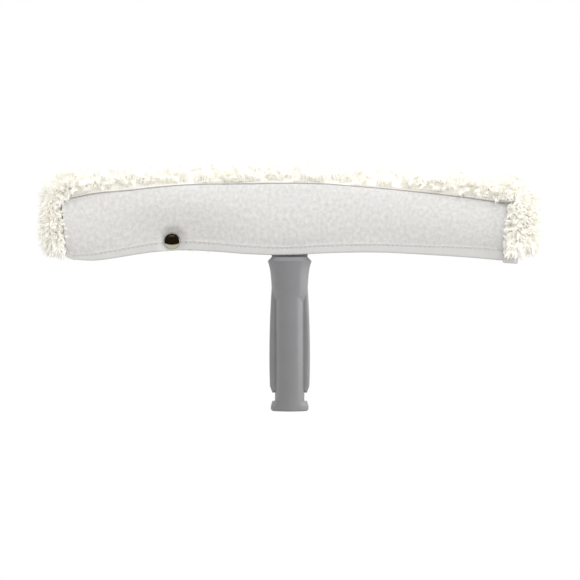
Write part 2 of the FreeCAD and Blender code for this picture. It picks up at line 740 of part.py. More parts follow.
def snap_hole():
    """Cutter for the cap's post, through cloth and tape."""
    radius = size("post_radius") + size("post_clearance")
    start = FreeCAD.Vector(-size("snap_left"), number(CAP_BASE) - size("overrun"), size("snap_height"))
    return Part.makeCylinder(radius, 2 * size("overrun"), start, FreeCAD.Vector(0, 1, 0))


def new_piece(label, shape):
    piece = doc.addObject("Part::Feature", label)
    piece.Shape = shape
    return piece


# Felt flap: the lower part of the back panel, drawn in under the bar where the press stud holds it
def make_felt_flap():
    inner = number(FELT_INNER)
    outer = number(FELT_OUTER)
    top = size("fold_height")
    slope_top = size("bar_bottom") - size("pucker_gap")
    slope_foot = size("snap_height") + size("cap_radius") + size("cap_margin")

    def section(inset, height):
        return [
            (outer, top),
            (outer, slope_top),
            (outer + inset, slope_foot),
            (outer + inset, height),
            (inner + inset, height),
            (inner + inset, slope_foot),
            (inner, slope_top),
            (inner, top),
        ]

    return new_piece("felt_flap", loft_along_hem(hem_stations(), section).cut(snap_hole()))


# Hem tape: a woven ribbon on the flap's outer face, folded under its lower edge, with a loose end
def make_flap_hem_tape():
    inner = number(FELT_INNER)
    outer = number(FELT_OUTER)
    tape = size("tape_thickness")

    def section(inset, height):
        return [
            (outer + inset, height + size("tape_width")),
            (outer + inset - tape, height + size("tape_width")),
            (outer + inset - tape, height - tape),
            (inner + inset, height - tape),
            (inner + inset, height),
            (outer + inset, height),
        ]

    stations = hem_stations()
    last_x, last_inset, last_height = stations[-1]
    stations.append((last_x + size("tape_tab"), last_inset, last_height))
    return new_piece("flap_hem_tape", loft_along_hem(stations, section).cut(snap_hole()))


# Hem stitching: two runs of thread on the tape, one each side of the press stud
def make_flap_hem_thread():
    face = number(FELT_OUTER) - size("tape_thickness")
    thread = size("thread_thickness")

    def section(inset, height):
        low = height + size("stitch_height")
        return [
            (face + inset, low),
            (face + inset - thread, low),
            (face + inset - thread, low + thread),
            (face + inset, low + thread),
        ]

    stations = hem_stations()
    before_snap = [station for station in stations if station[0] < -size("snap_left")]
    after_snap = [station for station in stations if station[0] > -size("snap_left")]
    runs = [loft_along_hem(run, section) for run in (before_snap, after_snap)]
    return new_piece("flap_hem_thread", Part.makeCompound(runs))


# Tape on the inner edge of the plush front
def make_front_hem_tape():
    body = new_body("front_hem_tape")
    outline = new_sketch(body, "XZ_Plane", "front_tape_outline", f"-{FRONT_INNER}")
    end = "(Sizes.bar_half_length - Sizes.front_tape_inset)"
    top = "Sizes.cover_bottom + Sizes.front_tape_width"
    draw_outline(outline, rectangle(f"-{end}", end, "Sizes.cover_bottom", top))
    pad = add_feature(body, "Pad", "front_tape", outline)
    pad.setExpression("Length", "Sizes.tape_thickness")
    shank = new_sketch(body, "XZ_Plane", "front_tape_hole", f"-{FRONT_INNER} + Sizes.overrun")
    draw_circle(shank, "-Sizes.snap_left", "Sizes.snap_height", "Sizes.rivet_radius + Sizes.rivet_room")
    hole = add_feature(body, "Pocket", "front_tape_rivet_way", shank)
    hole.setExpression("Length", "2 * Sizes.overrun")
    return body


# Stitching along that tape
def make_front_hem_thread():
    body = new_body("front_hem_thread")
    outline = new_sketch(body, "XZ_Plane", "front_thread_outline", f"-{STUD_SEAT}")
    end = "(Sizes.bar_half_length - 2 * Sizes.front_tape_inset)"
    low = "(Sizes.cover_bottom + Sizes.front_stitch_height)"
    draw_outline(outline, rectangle(f"-{end}", end, low, f"{low} + Sizes.thread_thickness"))
    pad = add_feature(body, "Pad", "front_thread", outline)
    pad.setExpression("Length", "Sizes.thread_thickness")
    return body


def place_on_snap(piece, depth):
    """Put a turned piece on the press stud's axis, at a depth along Y."""
    bind(piece, {
        "Placement.Base.x": "-Sizes.snap_left",
        "Placement.Base.y": depth,
        "Placement.Base.z": "Sizes.snap_height",
    })


# Press-stud cap: a polished dome with the post that goes through the felt
def make_snap_cap():
    crown = "-Sizes.cap_dome"
    rim = "-Sizes.cap_rim"
    reach = "Sizes.cap_radius"
    dome_arc = tangent_radius(reach, "(Sizes.cap_dome - Sizes.cap_rim)")
    post_end = f"({SOCKET_BACK} + Sizes.socket_ring_back - {CAP_BASE})"
    body = turned("snap_cap", "XY_Plane", [
        ("0", crown, dome_arc, 1),
        (reach, rim),
        (reach, "0"),
        ("Sizes.post_radius", "0"),
        ("Sizes.post_radius", post_end),
        ("0", post_end),
    ])
    place_on_snap(body, CAP_BASE)
    return body


# Press-stud socket, clinched on the cap's post inside the flap, with a groove for its spring
def make_snap_socket():
    wire = "Sizes.spring_wire"
    middle = "(Sizes.socket_ring_depth / 2)"
    groove = f"(Sizes.socket_ring_recess + {wire})"
    bore = "(Sizes.post_radius + Sizes.post_clearance)"
    body = turned("snap_socket", "XY_Plane", [
        (bore, "0"),
        ("Sizes.socket_ring_radius", "0"),
        ("Sizes.socket_ring_radius", "Sizes.socket_ring_depth"),
        ("Sizes.socket_ring_recess", "Sizes.socket_ring_depth"),
        ("Sizes.socket_ring_recess", f"{middle} + {wire} + Sizes.post_clearance"),
        (groove, f"{middle} + {wire} + Sizes.post_clearance"),
        (groove, f"{middle} - {wire} - Sizes.post_clearance"),
        ("Sizes.socket_ring_recess", f"{middle} - {wire} - Sizes.post_clearance"),
        ("Sizes.socket_ring_recess", "Sizes.socket_ring_back"),
        (bore, "Sizes.socket_ring_back"),
    ])
    place_on_snap(body, SOCKET_BACK)
    return body


# Split ring of spring wire that grips the stud inside the socket
def make_socket_spring():
    ring = doc.addObject("Part::Torus", "socket_spring")
    bind(ring, {
        "Radius1": "Sizes.socket_ring_recess - Sizes.post_clearance",
        "Radius2": "Sizes.spring_wire",
        "Angle3": "360 - Sizes.spring_gap_angle",
    })
    ring.Placement.Rotation = FreeCAD.Rotation(FreeCAD.Vector(1, 0, 0), 90)
    place_on_snap(ring, f"{SOCKET_BACK} + Sizes.socket_ring_depth / 2")
    return ring


# Press-stud post side: the stud on the taped inner face of the plush front
def make_snap_stud():
    tip = f"-{STUD_HEIGHT}"
    shoulder = f"({tip} + Sizes.stud_radius - Sizes.stud_tip_radius)"
    bore_end = f"({tip} + Sizes.stud_flange)"
    body = turned("snap_stud", "XY_Plane", [
        ("0", tip),
        ("Sizes.stud_tip_radius", tip),
        ("Sizes.stud_radius", shoulder),
        ("Sizes.stud_radius", "-Sizes.stud_flange"),
        ("Sizes.stud_flange_radius", "-Sizes.stud_flange"),
        ("Sizes.stud_flange_radius", "0"),
        ("Sizes.stud_bore", "0"),
        ("Sizes.stud_bore", bore_end),
        ("0", bore_end),
    ])
    place_on_snap(body, STUD_SEAT)
    return body


# Rivet that holds the stud from the pile side of the backing cloth
def make_stud_rivet():
    bore_depth = f"({STUD_HEIGHT} - Sizes.stud_flange)"
    tip = f"-(Sizes.backing_thickness + Sizes.tape_thickness + {bore_depth} - Sizes.rivet_room)"
    body = turned("stud_rivet", "XY_Plane", [
        ("0", tip),
        ("Sizes.rivet_radius", tip),
        ("Sizes.rivet_radius", "0"),
        ("Sizes.stud_flange_radius", "0"),
        ("Sizes.stud_flange_radius", "Sizes.rivet_flange"),
        ("0", "Sizes.rivet_flange"),
    ])
    place_on_snap(body, FRONT_BACKING)
    return body


subparts = [
    make_handle(),
    make_crossbar(),
    make_screw(),
    make_washer(),
    make_plush_cover(),
    make_felt_top(),
    make_top_seam_thread(),
    make_front_hem_tape(),
    make_front_hem_thread(),
    make_snap_stud(),
    make_stud_rivet(),
    make_felt_flap(),
    make_flap_hem_tape(),
    make_flap_hem_thread(),
    make_snap_cap(),
    make_snap_socket(),
    make_socket_spring(),
]
doc.recompute()

faulty = [item.Label for item in doc.Objects if {"Invalid", "Error"} & set(item.State)]
unsound = [piece.Label for piece in subparts if piece.Shape.isNull() or not piece.Shape.isValid()]
if faulty or unsound:
    raise RuntimeError(f"Objects with errors: {faulty}; shapes that are not valid: {unsound}")

os.makedirs("parts", exist_ok=True)
for piece in subparts:
    piece.Shape.exportStep(f"parts/{piece.Label}.step")
    box = piece.Shape.BoundBox
    print(f"{piece.Label}: {len(piece.Shape.Solids)} solid, {piece.Shape.Volume:.0f} mm3,",
          f"x {box.XMin:.1f} {box.XMax:.1f}, y {box.YMin:.1f} {box.YMax:.1f}, z {box.ZMin:.1f} {box.ZMax:.1f}")
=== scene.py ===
import math

import bpy
import numpy as np
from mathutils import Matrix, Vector, kdtree


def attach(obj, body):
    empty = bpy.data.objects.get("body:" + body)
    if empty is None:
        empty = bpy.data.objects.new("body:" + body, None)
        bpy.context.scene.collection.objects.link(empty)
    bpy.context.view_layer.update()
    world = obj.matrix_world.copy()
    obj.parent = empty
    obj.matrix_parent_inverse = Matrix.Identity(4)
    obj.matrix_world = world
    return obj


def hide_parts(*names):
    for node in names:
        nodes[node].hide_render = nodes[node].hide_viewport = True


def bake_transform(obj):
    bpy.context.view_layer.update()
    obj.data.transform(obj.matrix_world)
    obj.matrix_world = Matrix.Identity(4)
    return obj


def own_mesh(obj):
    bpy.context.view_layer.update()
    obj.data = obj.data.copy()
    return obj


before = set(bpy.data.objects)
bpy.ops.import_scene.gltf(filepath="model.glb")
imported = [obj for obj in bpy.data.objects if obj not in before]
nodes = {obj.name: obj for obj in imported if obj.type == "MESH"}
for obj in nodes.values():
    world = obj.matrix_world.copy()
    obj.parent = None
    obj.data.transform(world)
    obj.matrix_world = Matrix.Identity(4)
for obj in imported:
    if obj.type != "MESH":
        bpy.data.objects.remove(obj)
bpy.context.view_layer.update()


# Handle and crossbar
# Two injection mouldings in grey polypropylene: the hand grip with its pole socket, and the bowed bar whose
# spigot plugs into it. The steel mould was spark-eroded, so the skin is satin with a very fine grain.
MM = 0.001


def linear(colour):
    """Linear colour of an sRGB hex value such as 9A9A9C."""
    shares = [int(colour[i:i + 2], 16) / 255 for i in (0, 2, 4)]
    return [s / 12.92 if s <= 0.04045 else ((s + 0.055) / 1.055) ** 2.4 for s in shares] + [1.0]


def add_node(tree, kind, sockets=None, **settings):
    """New node with its settings; a socket's value is a plain value or another node's output.

    Sockets go by name, or by number where several share a name, as on the node that mixes colours: its share
    is input 0, its colours are inputs 6 and 7 and its result is output 2.
    """
    node = tree.nodes.new(kind)
    for name, value in settings.items():
        setattr(node, name, value)
    for name, value in (sockets or {}).items():
        if isinstance(value, bpy.types.NodeSocket):
            tree.links.new(value, node.inputs[name])
        else:
            node.inputs[name].default_value = value
    return node


def new_material(name):
    """Material with a Principled shader; gives the material, its node tree and the shader."""
    material = bpy.data.materials.new(name)
    material.use_nodes = True
    return material, material.node_tree, material.node_tree.nodes["Principled BSDF"]


def dress(piece, material):
    """Gives a piece this one material."""
    piece.data.materials.clear()
    piece.data.materials.append(material)


# Spark-eroded polypropylene: an even mid grey that dims a little in patches where the melt met. Its grain is
# drawn coarser than the real one, so that it shows.
PLASTIC_GRAIN = 0.5 * MM
PLASTIC_PATCH = 18 * MM
plastic, tree, shader = new_material("spark_eroded_grey_polypropylene")
place = add_node(tree, "ShaderNodeTexCoord").outputs["Object"]
patch = add_node(tree, "ShaderNodeTexNoise", {"Vector": place, "Scale": 1 / PLASTIC_PATCH, "Detail": 2.0})
grain = add_node(tree, "ShaderNodeTexNoise", {"Vector": place, "Scale": 1 / PLASTIC_GRAIN, "Detail": 3.0})
tone = add_node(tree, "ShaderNodeMix", {0: patch.outputs["Fac"], 6: linear("7A7A7D"),
                                        7: linear("828284")}, data_type="RGBA")
gloss = add_node(tree, "ShaderNodeMapRange", {"Value": grain.outputs["Fac"], "To Min": 0.27, "To Max": 0.37})
bump = add_node(tree, "ShaderNodeBump", {"Height": grain.outputs["Fac"], "Strength": 0.12,
                                         "Distance": 0.05 * MM})
tree.links.new(tone.outputs[2], shader.inputs["Base Color"])
tree.links.new(gloss.outputs["Result"], shader.inputs["Roughness"])
tree.links.new(bump.outputs["Normal"], shader.inputs["Normal"])
shader.inputs["IOR"].default_value = 1.49
dress(nodes["handle"], plastic)
dress(nodes["crossbar"], plastic)


# Screw and washer
# A zinc-plated steel screw and washer at the top of the pole socket. They pull the handle up onto the spigot
# and are only seen by looking into the socket.
ZINC_PATCH = 2 * MM
zinc, tree, shader = new_material("zinc_plated_steel")
place = add_node(tree, "ShaderNodeTexCoord").outputs["Object"]
spangle = add_node(tree, "ShaderNodeTexNoise", {"Vector": place, "Scale": 1 / ZINC_PATCH, "Detail": 4.0})
gloss = add_node(tree, "ShaderNodeMapRange",
                 {"Value": spangle.outputs["Fac"], "To Min": 0.28, "To Max": 0.45})
tree.links.new(gloss.outputs["Result"], shader.inputs["Roughness"])
shader.inputs["Base Color"].default_value = linear("C3C6CA")
shader.inputs["Metallic"].default_value = 1.0
for name in ("handle_screw", "handle_washer"):
    dress(nodes[name], zinc)


# Plush backing
# The knitted ground of the plush: one cloth that hangs down the front, folds over the top and both ends and
# comes round to the back, where its bare edge is sewn to the felt. The pile grows out of it.
BACKING_THICKNESS = 2 * MM
BACK_FACE = -4.9 * MM
RIDGE_DEPTH = 3.0 * MM
FRONT_FACE = 10.5 * MM
SHOULDER = 8 * MM
FRONT_EDGE = 145.2 * MM
FELT_LEFT = -203.6 * MM
FELT_RIGHT = 197.5 * MM
PANEL_END = 194.5 * MM
END_LAP = 2.5 * MM
END_LEFT = -208 * MM
END_RIGHT = 209 * MM
END_DROP = 9 * MM
END_RISE = 4 * MM
END_SAG = 4.5 * MM
SELVAGE = 3.0 * MM
SELVAGE_SWELL = 0.7 * MM
SEAM_ROOM = 0.7 * MM
SAG_RATE = 2.4
PANEL_GRID = (120, 30)
PANEL_FLAT = (400 * MM, 90 * MM)
END_GRID = (10, 40)
END_FLAT = (20 * MM, 130 * MM)


def smooth_line(stations):
    """Smooth line through (x, height) stations in millimetres, as a function of x in metres."""
    xs, heights = np.array(stations, float).T * MM
    slopes = np.gradient(heights, xs)

    def height(x):
        x = np.clip(x, xs[0], xs[-1])
        i = np.clip(np.searchsorted(xs, x) - 1, 0, len(xs) - 2)
        step = xs[i + 1] - xs[i]
        t = (x - xs[i]) / step
        rise = (3 - 2 * t) * t * t
        ease_in = t * (1 - t) ** 2 * step * slopes[i]
        ease_out = t * t * (1 - t) * step * slopes[i + 1]
        return heights[i] * (1 - rise) + heights[i + 1] * rise + ease_in - ease_out

    return height


# Heights along the sleeve: the arched seam over the felt, and the fold along the top under the pile
seam_line = smooth_line([(-200, 189.0), (-175, 194.0), (-142, 197.2), (-120, 199.8), (-88, 202.2),
                         (-50, 202.8), (30, 202.8), (61, 200.6), (93, 197.8), (125, 194.4), (157, 190.7),
                         (180, 187.2), (198, 184.6)])
ridge_line = smooth_line([(-210, 203.0), (-165, 204.5), (-90, 206.5), (0, 208.0), (30, 207.5), (60, 204.0),
                          (110, 202.0), (180, 201.5), (210, 199.5)])


# The felt's two ends lean in a little towards the hem
FELT_FOOT = 143 * MM
FELT_HEAD = 187 * MM
LEAN_LEFT = 4.2 * MM
LEAN_RIGHT = 6.0 * MM


def beside_felt(x, z):
    """Distance of a place beyond the nearer end of the felt, below nothing where the felt covers it."""
    share = np.clip((FELT_HEAD - z) / (FELT_HEAD - FELT_FOOT), 0, 1)
    return np.where(x < 0, FELT_LEFT + LEAN_LEFT * share - x, x - FELT_RIGHT + LEAN_RIGHT * share)


def quarter(start, corner, end, t):
    """Point on the quarter of an ellipse from start to end, whose box has the given corner."""
    turn = t * math.pi / 2
    return start + (corner - start) * np.sin(turn) + (end - corner) * (1 - np.cos(turn))


# A quarter of an ellipse is about this share of its two half axes put end to end
ARC_SHARE = 0.8


def over_the_top(low, ridge, back, front, foot, s):
    """Depth and height along the cloth, from its back edge at low over the ridge to its front edge at foot.

    Gives the length of cloth from the back edge too.
    """
    middle = (back + front) / 2
    lift = np.minimum(SHOULDER, ridge - low)
    lengths = [ridge - low - lift, (middle - back + lift) * ARC_SHARE,
               (front - middle + SHOULDER) * ARC_SHARE, ridge - SHOULDER - foot]
    run = s * sum(lengths)
    rise = np.clip(run / np.maximum(lengths[0], 1e-9), 0, 1)
    to_ridge = np.clip((run - lengths[0]) / lengths[1], 0, 1)
    to_front = np.clip((run - lengths[0] - lengths[1]) / lengths[2], 0, 1)
    down = np.clip((run - lengths[0] - lengths[1] - lengths[2]) / lengths[3], 0, 1)
    height = low + lengths[0] * rise
    height = height + quarter(0, lift, lift, to_ridge)
    height = height - quarter(0, 0, SHOULDER, to_front) - lengths[3] * down
    depth = back + quarter(0, 0, middle - back, to_ridge)
    depth = depth + quarter(0, front - middle, front - middle, to_front)
    return depth, height, run


def main_panel(u, v):
    """Backing over the bar: u runs along the sleeve, v from the seam over the top to the front edge."""
    x = PANEL_END * (2 * u - 1)
    low = seam_line(x) + SEAM_ROOM
    depth, height, run = over_the_top(low, ridge_line(x), BACK_FACE, FRONT_FACE, FRONT_EDGE, v)
    swell = SELVAGE_SWELL * np.sin(np.clip(run / SELVAGE, 0, 1) * math.pi)
    return np.stack([x, depth - swell, height], -1)


def end_cap(root, tip, u, v):
    """Backing that closes an end, drawn in to a seam: u runs out to the tip, v from back to front."""
    out = np.sin(u * math.pi / 2)
    draw = np.sqrt(np.maximum(1 - out * out, 0.0))
    x = root + (tip - root) * out
    middle = (BACK_FACE + FRONT_FACE) / 2
    half = (FRONT_FACE - BACK_FACE) / 2 * draw
    ridge = ridge_line(x) - END_DROP * (1 - draw)
    sag = END_SAG * np.sqrt(np.sin(np.minimum(out * SAG_RATE, 1) * math.pi / 2))
    foot = FRONT_EDGE + END_RISE * (1 - draw) - sag
    depth, height = over_the_top(foot, ridge, middle - half, middle + half, foot, v)[:2]
    return np.stack([x, depth, height], -1)


def left_end(u, v):
    """Left end, which begins with a lap on the panel; u is turned round so that its outer side faces out."""
    return end_cap(END_LAP - PANEL_END, END_LEFT, 1 - u, v)


def right_end(u, v):
    """Right end, which begins with a lap on the panel."""
    return end_cap(PANEL_END - END_LAP, END_RIGHT, u, v)


def deselect():
    """Leaves nothing selected, so that an operator acts on the next piece alone."""
    bpy.ops.object.select_all(action="DESELECT")


def pick(*pieces):
    """Selects just these pieces and makes the first of them active."""
    deselect()
    for piece in pieces:
        piece.select_set(True)
    bpy.context.view_layer.objects.active = pieces[0]


def new_cloth(name, grid, placed, flat):
    """Grid of cloth laid on a surface placed(u, v); its UV map, in metres, is the cloth laid flat."""
    columns, rows = grid
    deselect()
    bpy.ops.mesh.primitive_grid_add(x_subdivisions=columns, y_subdivisions=rows, size=1)
    cloth = bpy.context.object
    cloth.name = name
    mesh = cloth.data
    flat_points = np.zeros(len(mesh.vertices) * 3)
    mesh.vertices.foreach_get("co", flat_points)
    share = flat_points.reshape(-1, 3)[:, :2] + 0.5
    mesh.vertices.foreach_set("co", placed(share[:, 0], share[:, 1]).ravel())
    mesh.uv_layers[0].name = "cloth"
    laid = np.zeros(len(mesh.loops) * 2)
    mesh.uv_layers["cloth"].data.foreach_get("uv", laid)
    laid = laid.reshape(-1, 2) * np.array(flat)
    mesh.uv_layers["cloth"].data.foreach_set("uv", laid.ravel())
    mesh.update()
    return cloth


def apply_modifier(piece, kind, **settings):
    """Adds a modifier with its settings and applies it."""
    pick(piece)
    modifier = piece.modifiers.new(kind.lower(), kind)
    for name, value in settings.items():
        setattr(modifier, name, value)
    bpy.ops.object.modifier_apply(modifier=modifier.name)


def join(first, *others):
    """Makes one piece of several, and gives the first, which holds them all."""
    pick(first, *others)
    bpy.ops.object.join()
    return first


def shade_smooth(piece, degrees=50):
    """Shades a piece smooth, apart from edges that turn by more than this."""
    pick(piece)
    bpy.ops.object.shade_smooth_by_angle(angle=math.radians(degrees))


# Knitted ground: polyester loops in rows, cream against the white felt. At a scale of 1 the wave texture
# draws WAVE_BANDS bands in a metre.
WAVE_BANDS = 3.2
KNIT_PITCH = 0.5625 * MM
KNIT_FUZZ = 1.4 * MM
knit, tree, shader = new_material("knitted_polyester_ground")
laid = add_node(tree, "ShaderNodeUVMap", uv_map="cloth").outputs["UV"]
courses = add_node(tree, "ShaderNodeTexWave",
                   {"Vector": laid, "Scale": 1 / KNIT_PITCH / WAVE_BANDS, "Distortion": 2.0, "Detail": 2.0},
                   bands_direction="Y")
fuzz = add_node(tree, "ShaderNodeTexNoise", {"Vector": laid, "Scale": 1 / KNIT_FUZZ, "Detail": 4.0})
tone = add_node(tree, "ShaderNodeMix", {0: fuzz.outputs["Fac"], 6: linear("E2DFD3"),
                                        7: linear("F3F1E9")}, data_type="RGBA")
bump = add_node(tree, "ShaderNodeBump",
                {"Height": courses.outputs["Fac"], "Strength": 0.5, "Distance": 0.25 * MM})
tree.links.new(tone.outputs[2], shader.inputs["Base Color"])
tree.links.new(bump.outputs["Normal"], shader.inputs["Normal"])
shader.inputs["Roughness"].default_value = 0.95
shader.inputs["Sheen Weight"].default_value = 0.25

backing = join(new_cloth("plush_backing", PANEL_GRID, main_panel, PANEL_FLAT),
               new_cloth("left_backing", END_GRID, left_end, END_FLAT),
               new_cloth("right_backing", END_GRID, right_end, END_FLAT))
apply_modifier(backing, "WELD", merge_threshold=0.05 * MM)
pick(backing)
bpy.ops.object.duplicate()
mass = bpy.context.object
apply_modifier(backing, "SOLIDIFY", thickness=BACKING_THICKNESS, offset=-1.0)
shade_smooth(backing)
dress(backing, knit)
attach(backing, "sleeve")
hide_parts("plush_cover")


# Plush mass
# The dense body of the pile, where the fibres are too close to tell apart: a lumpy layer on the knitted
# ground, thin at the sewn edges, out of which the ends of the tufts stand.
PILE_HEIGHT = 16 * MM
MASS_SHARE = 0.86
LUMP_SHARE = 0.08
TUFT_PITCH = 3.7 * MM
EDGE_RISE = 5 * MM
EDGE_SHARE = 0.4
BACK_SHARE = 0.42
FOLD_HEIGHT = 181 * MM
FLAP_REACH = 5 * MM
FLAP_ROOM_SHARE = 0.55
TUFT_STRAY = 0.42
CREST_REACH = 0.75
MASS_THICKNESS = 1.5 * MM
PANEL_TUFTS = (389 * MM, 88 * MM)
END_TUFTS = (52 * MM, 150 * MM)
# How far the cloth faces the front, from -1 to 1, where the pile's pressed back and the flap's room change
BACK_FACING = (-0.95, 0.1)
FLAP_FACING = (0.1, -0.5)
# How near to a line a rim of the cloth counts as lying on it
ON_BACK = 1 * MM
ON_SEAM = 0.2 * MM
ON_JOINT = END_LAP + 0.1 * MM
PILE_SEED = 7
rng = np.random.default_rng(PILE_SEED)


def step_smooth(low, high, value):
    """Smooth step from 0 at low to 1 at high."""
    t = np.clip((value - low) / (high - low), 0, 1)
    return t * t * (3 - 2 * t)


def find_near(places):
    """Finder for the nearest of these places."""
    finder = kdtree.KDTree(len(places))
    for index, place in enumerate(places):
        finder.insert(place, index)
    finder.balance()
    return finder


def read_points(mesh, what="co"):
    """Places of a mesh's points, or else the ways out at them."""
    values = np.zeros(len(mesh.vertices) * 3)
    if what == "co":
        mesh.vertices.foreach_get("co", values)
    else:
        mesh.vertex_normals.foreach_get("vector", values)
    return values.reshape(-1, 3)


# The sewn and cut edges of the cloth, where the pile stands lower or not at all
mass.name = "plush_mass"
pick(mass)
bpy.ops.object.mode_set(mode="EDIT")
bpy.ops.mesh.select_mode(type="VERT")
bpy.ops.mesh.select_all(action="DESELECT")
bpy.ops.mesh.select_non_manifold()
bpy.ops.object.mode_set(mode="OBJECT")
rims = np.array([point.co for point in mass.data.vertices if point.select])
on_back = rims[:, 1] < BACK_FACE + ON_BACK
on_seam = on_back & (np.abs(rims[:, 2] - seam_line(rims[:, 0]) - SEAM_ROOM) < ON_SEAM)
on_joint = np.abs(np.abs(rims[:, 0]) - PANEL_END) < ON_JOINT
seam_finder = find_near(rims[on_seam])
edge_finder = find_near(rims[~on_back & ~on_joint])


def standing(places, ways_out):
    """How fully the pile stands at each place, from 0 on the bare selvage and under the felt to 1.

    It is pressed flatter on the back, where the scrubber lies on its felt. Gives the distance from the seam
    too.
    """
    x, y, z = places.T
    from_seam = np.array([seam_finder.find(place)[2] for place in places])
    from_edge = np.array([edge_finder.find(place)[2] for place in places])
    below_seam = (y < RIDGE_DEPTH) & (z < seam_line(x))
    from_felt = np.where(below_seam, beside_felt(x, z), EDGE_RISE)
    from_seam = np.where(below_seam & (from_felt > 0), SELVAGE + EDGE_RISE, from_seam)
    at_seam = step_smooth(SELVAGE, SELVAGE + EDGE_RISE, from_seam)
    at_edge = EDGE_SHARE + (1 - EDGE_SHARE) * step_smooth(0, EDGE_RISE, np.minimum(from_edge, from_felt))
    at_back = BACK_SHARE + (1 - BACK_SHARE) * step_smooth(*BACK_FACING, ways_out[:, 1])
    return at_seam * at_edge * at_back * (from_felt > 0), from_seam


def under_flap(places, ways_out):
    """How far a place is one on which the opened flap comes to lie, from 0 to 1."""
    x = places[:, 0]
    inside = step_smooth(-FLAP_REACH, 0, np.minimum(x - FELT_LEFT, FELT_RIGHT - x))
    behind = step_smooth(*FLAP_FACING, ways_out[:, 1])
    return behind * inside * step_smooth(FOLD_HEIGHT - FLAP_REACH, FOLD_HEIGHT, places[:, 2])


def tuft_rows(surface, width, height):
    """Middles of the tufts, in slightly uneven knitted rows, with the way out of the cloth at each."""
    columns = int(width / TUFT_PITCH)
    rows = int(height / TUFT_PITCH)
    i, j = np.meshgrid(np.arange(columns), np.arange(rows))
    u = (i.ravel() + 0.5 + rng.uniform(-TUFT_STRAY, TUFT_STRAY, i.size)) / columns
    v = (j.ravel() + 0.5 + rng.uniform(-TUFT_STRAY, TUFT_STRAY, i.size)) / rows
    nudge = 1e-3
    along = surface(np.minimum(u + nudge, 1), v) - surface(np.maximum(u - nudge, 0), v)
    across = surface(u, np.minimum(v + nudge, 1)) - surface(u, np.maximum(v - nudge, 0))
    out = np.cross(along, across)
    return surface(u, v), out / np.linalg.norm(out, axis=1)[:, None]


# The ends are round, so their pile fans out and needs more rows than the bare cloth has room for
grown = [tuft_rows(main_panel, *PANEL_TUFTS)]
for surface in (left_end, right_end):
    grown.append(tuft_rows(surface, *END_TUFTS))
tuft_root = np.concatenate([place for place, out in grown])
tuft_out = np.concatenate([out for place, out in grown])
tuft_stand, tuft_from_seam = standing(tuft_root, tuft_out)
kept = (tuft_from_seam > SELVAGE) & (tuft_stand > 0)
tuft_root = tuft_root[kept]
tuft_out = tuft_out[kept]
tuft_stand = tuft_stand[kept]
tuft_from_seam = tuft_from_seam[kept]
tuft_finder = find_near(tuft_root)
tuft_tint = rng.random(len(tuft_root))

bpy.ops.object.mode_set(mode="EDIT")
bpy.ops.mesh.select_all(action="SELECT")
bpy.ops.mesh.subdivide(number_cuts=2)
bpy.ops.object.mode_set(mode="OBJECT")
ground = read_points(mass.data)
ground_out = read_points(mass.data, "normal")
ground_stand = standing(ground, ground_out)[0]
near = np.array([tuft_finder.find(place)[2] for place in ground])
crest = 1 - step_smooth(0, TUFT_PITCH * CREST_REACH, near)
mass_height = PILE_HEIGHT * ground_stand * (MASS_SHARE - LUMP_SHARE * (1 - crest))
mass_height = mass_height * (1 - FLAP_ROOM_SHARE * under_flap(ground, ground_out))
mass.data.vertices.foreach_set("co", (ground + ground_out * mass_height[:, None]).ravel())
# The crest share, lowered where the pile stands low, drives the mass's painted shade: cream in hollows, white
# on crests
mass.data.attributes.new("crest", "FLOAT", "POINT").data.foreach_set("value", crest * ground_stand)
mass.data.update()
apply_modifier(mass, "SOLIDIFY", thickness=MASS_THICKNESS, offset=-1.0)
shade_smooth(mass, 180)

# Matted polyester, bumped by tangled fibre, with painted shade: cream in the hollows between the tufts and
# where the pile stands low, white on the tufts' crests
FIBRE_TANGLE = 1.1 * MM
matted, tree, shader = new_material("matted_white_polyester_pile")
place = add_node(tree, "ShaderNodeTexCoord").outputs["Object"]
tangle = add_node(tree, "ShaderNodeTexNoise", {"Vector": place, "Scale": 1 / FIBRE_TANGLE, "Detail": 4.0,
                                               "Distortion": 1.2})
height = add_node(tree, "ShaderNodeAttribute", attribute_name="crest")
tone = add_node(tree, "ShaderNodeMix", {0: height.outputs["Fac"], 6: linear("F1EFE8"),
                                        7: linear("F9F8F4")}, data_type="RGBA")
bump = add_node(tree, "ShaderNodeBump",
                {"Height": tangle.outputs["Fac"], "Strength": 0.6, "Distance": 0.5 * MM})
tree.links.new(tone.outputs[2], shader.inputs["Base Color"])
tree.links.new(bump.outputs["Normal"], shader.inputs["Normal"])
shader.inputs["Roughness"].default_value = 1.0
shader.inputs["Specular IOR Level"].default_value = 0.0
dress(mass, matted)
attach(mass, "sleeve")
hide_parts("plush_cover")


# Plush tufts
# The ends of the pile: soft white polyester locks, a bundle of crimped fibre each, which stand out of the
# mass in tufts, curl, and lean on their neighbours. They cover the front, the top and both ends.
LOCKS_PER_TUFT = 16
FRINGE = 7 * MM
LOCK_START = 0.6
LOCK_SHARE = 0.5
LOCK_RADIUS = 0.32 * MM
FRINGE_RADIUS = 0.42 * MM
LOCK_RINGS = (0.28, 0.55, 0.78, 0.93)
PIECE_LOCKS = 5000
LOCK_SPREAD = 0.28
FRINGE_SPREAD = -0.1
CURL = 1.3 * MM
LOCK_BOW = 0.5
PRESSED_SHARE = 0.4
# How far the tufts lean: by chance, down beside the seam, up on the back, and near the foot up or, on the
# ends, down; those beside the felt lean in over its edge and, at the right, over the tape
TUFT_LEAN = 0.3
FRINGE_DROOP = 0.35
BACK_LIFT = 0.25
FRONT_FACING = 0.2
FOOT_BAND = 9 * MM
FOOT_LIFT = 0.8
END_DROOP = 0.95
END_TUCK = 0.35
TAPE_TUCK = 0.3
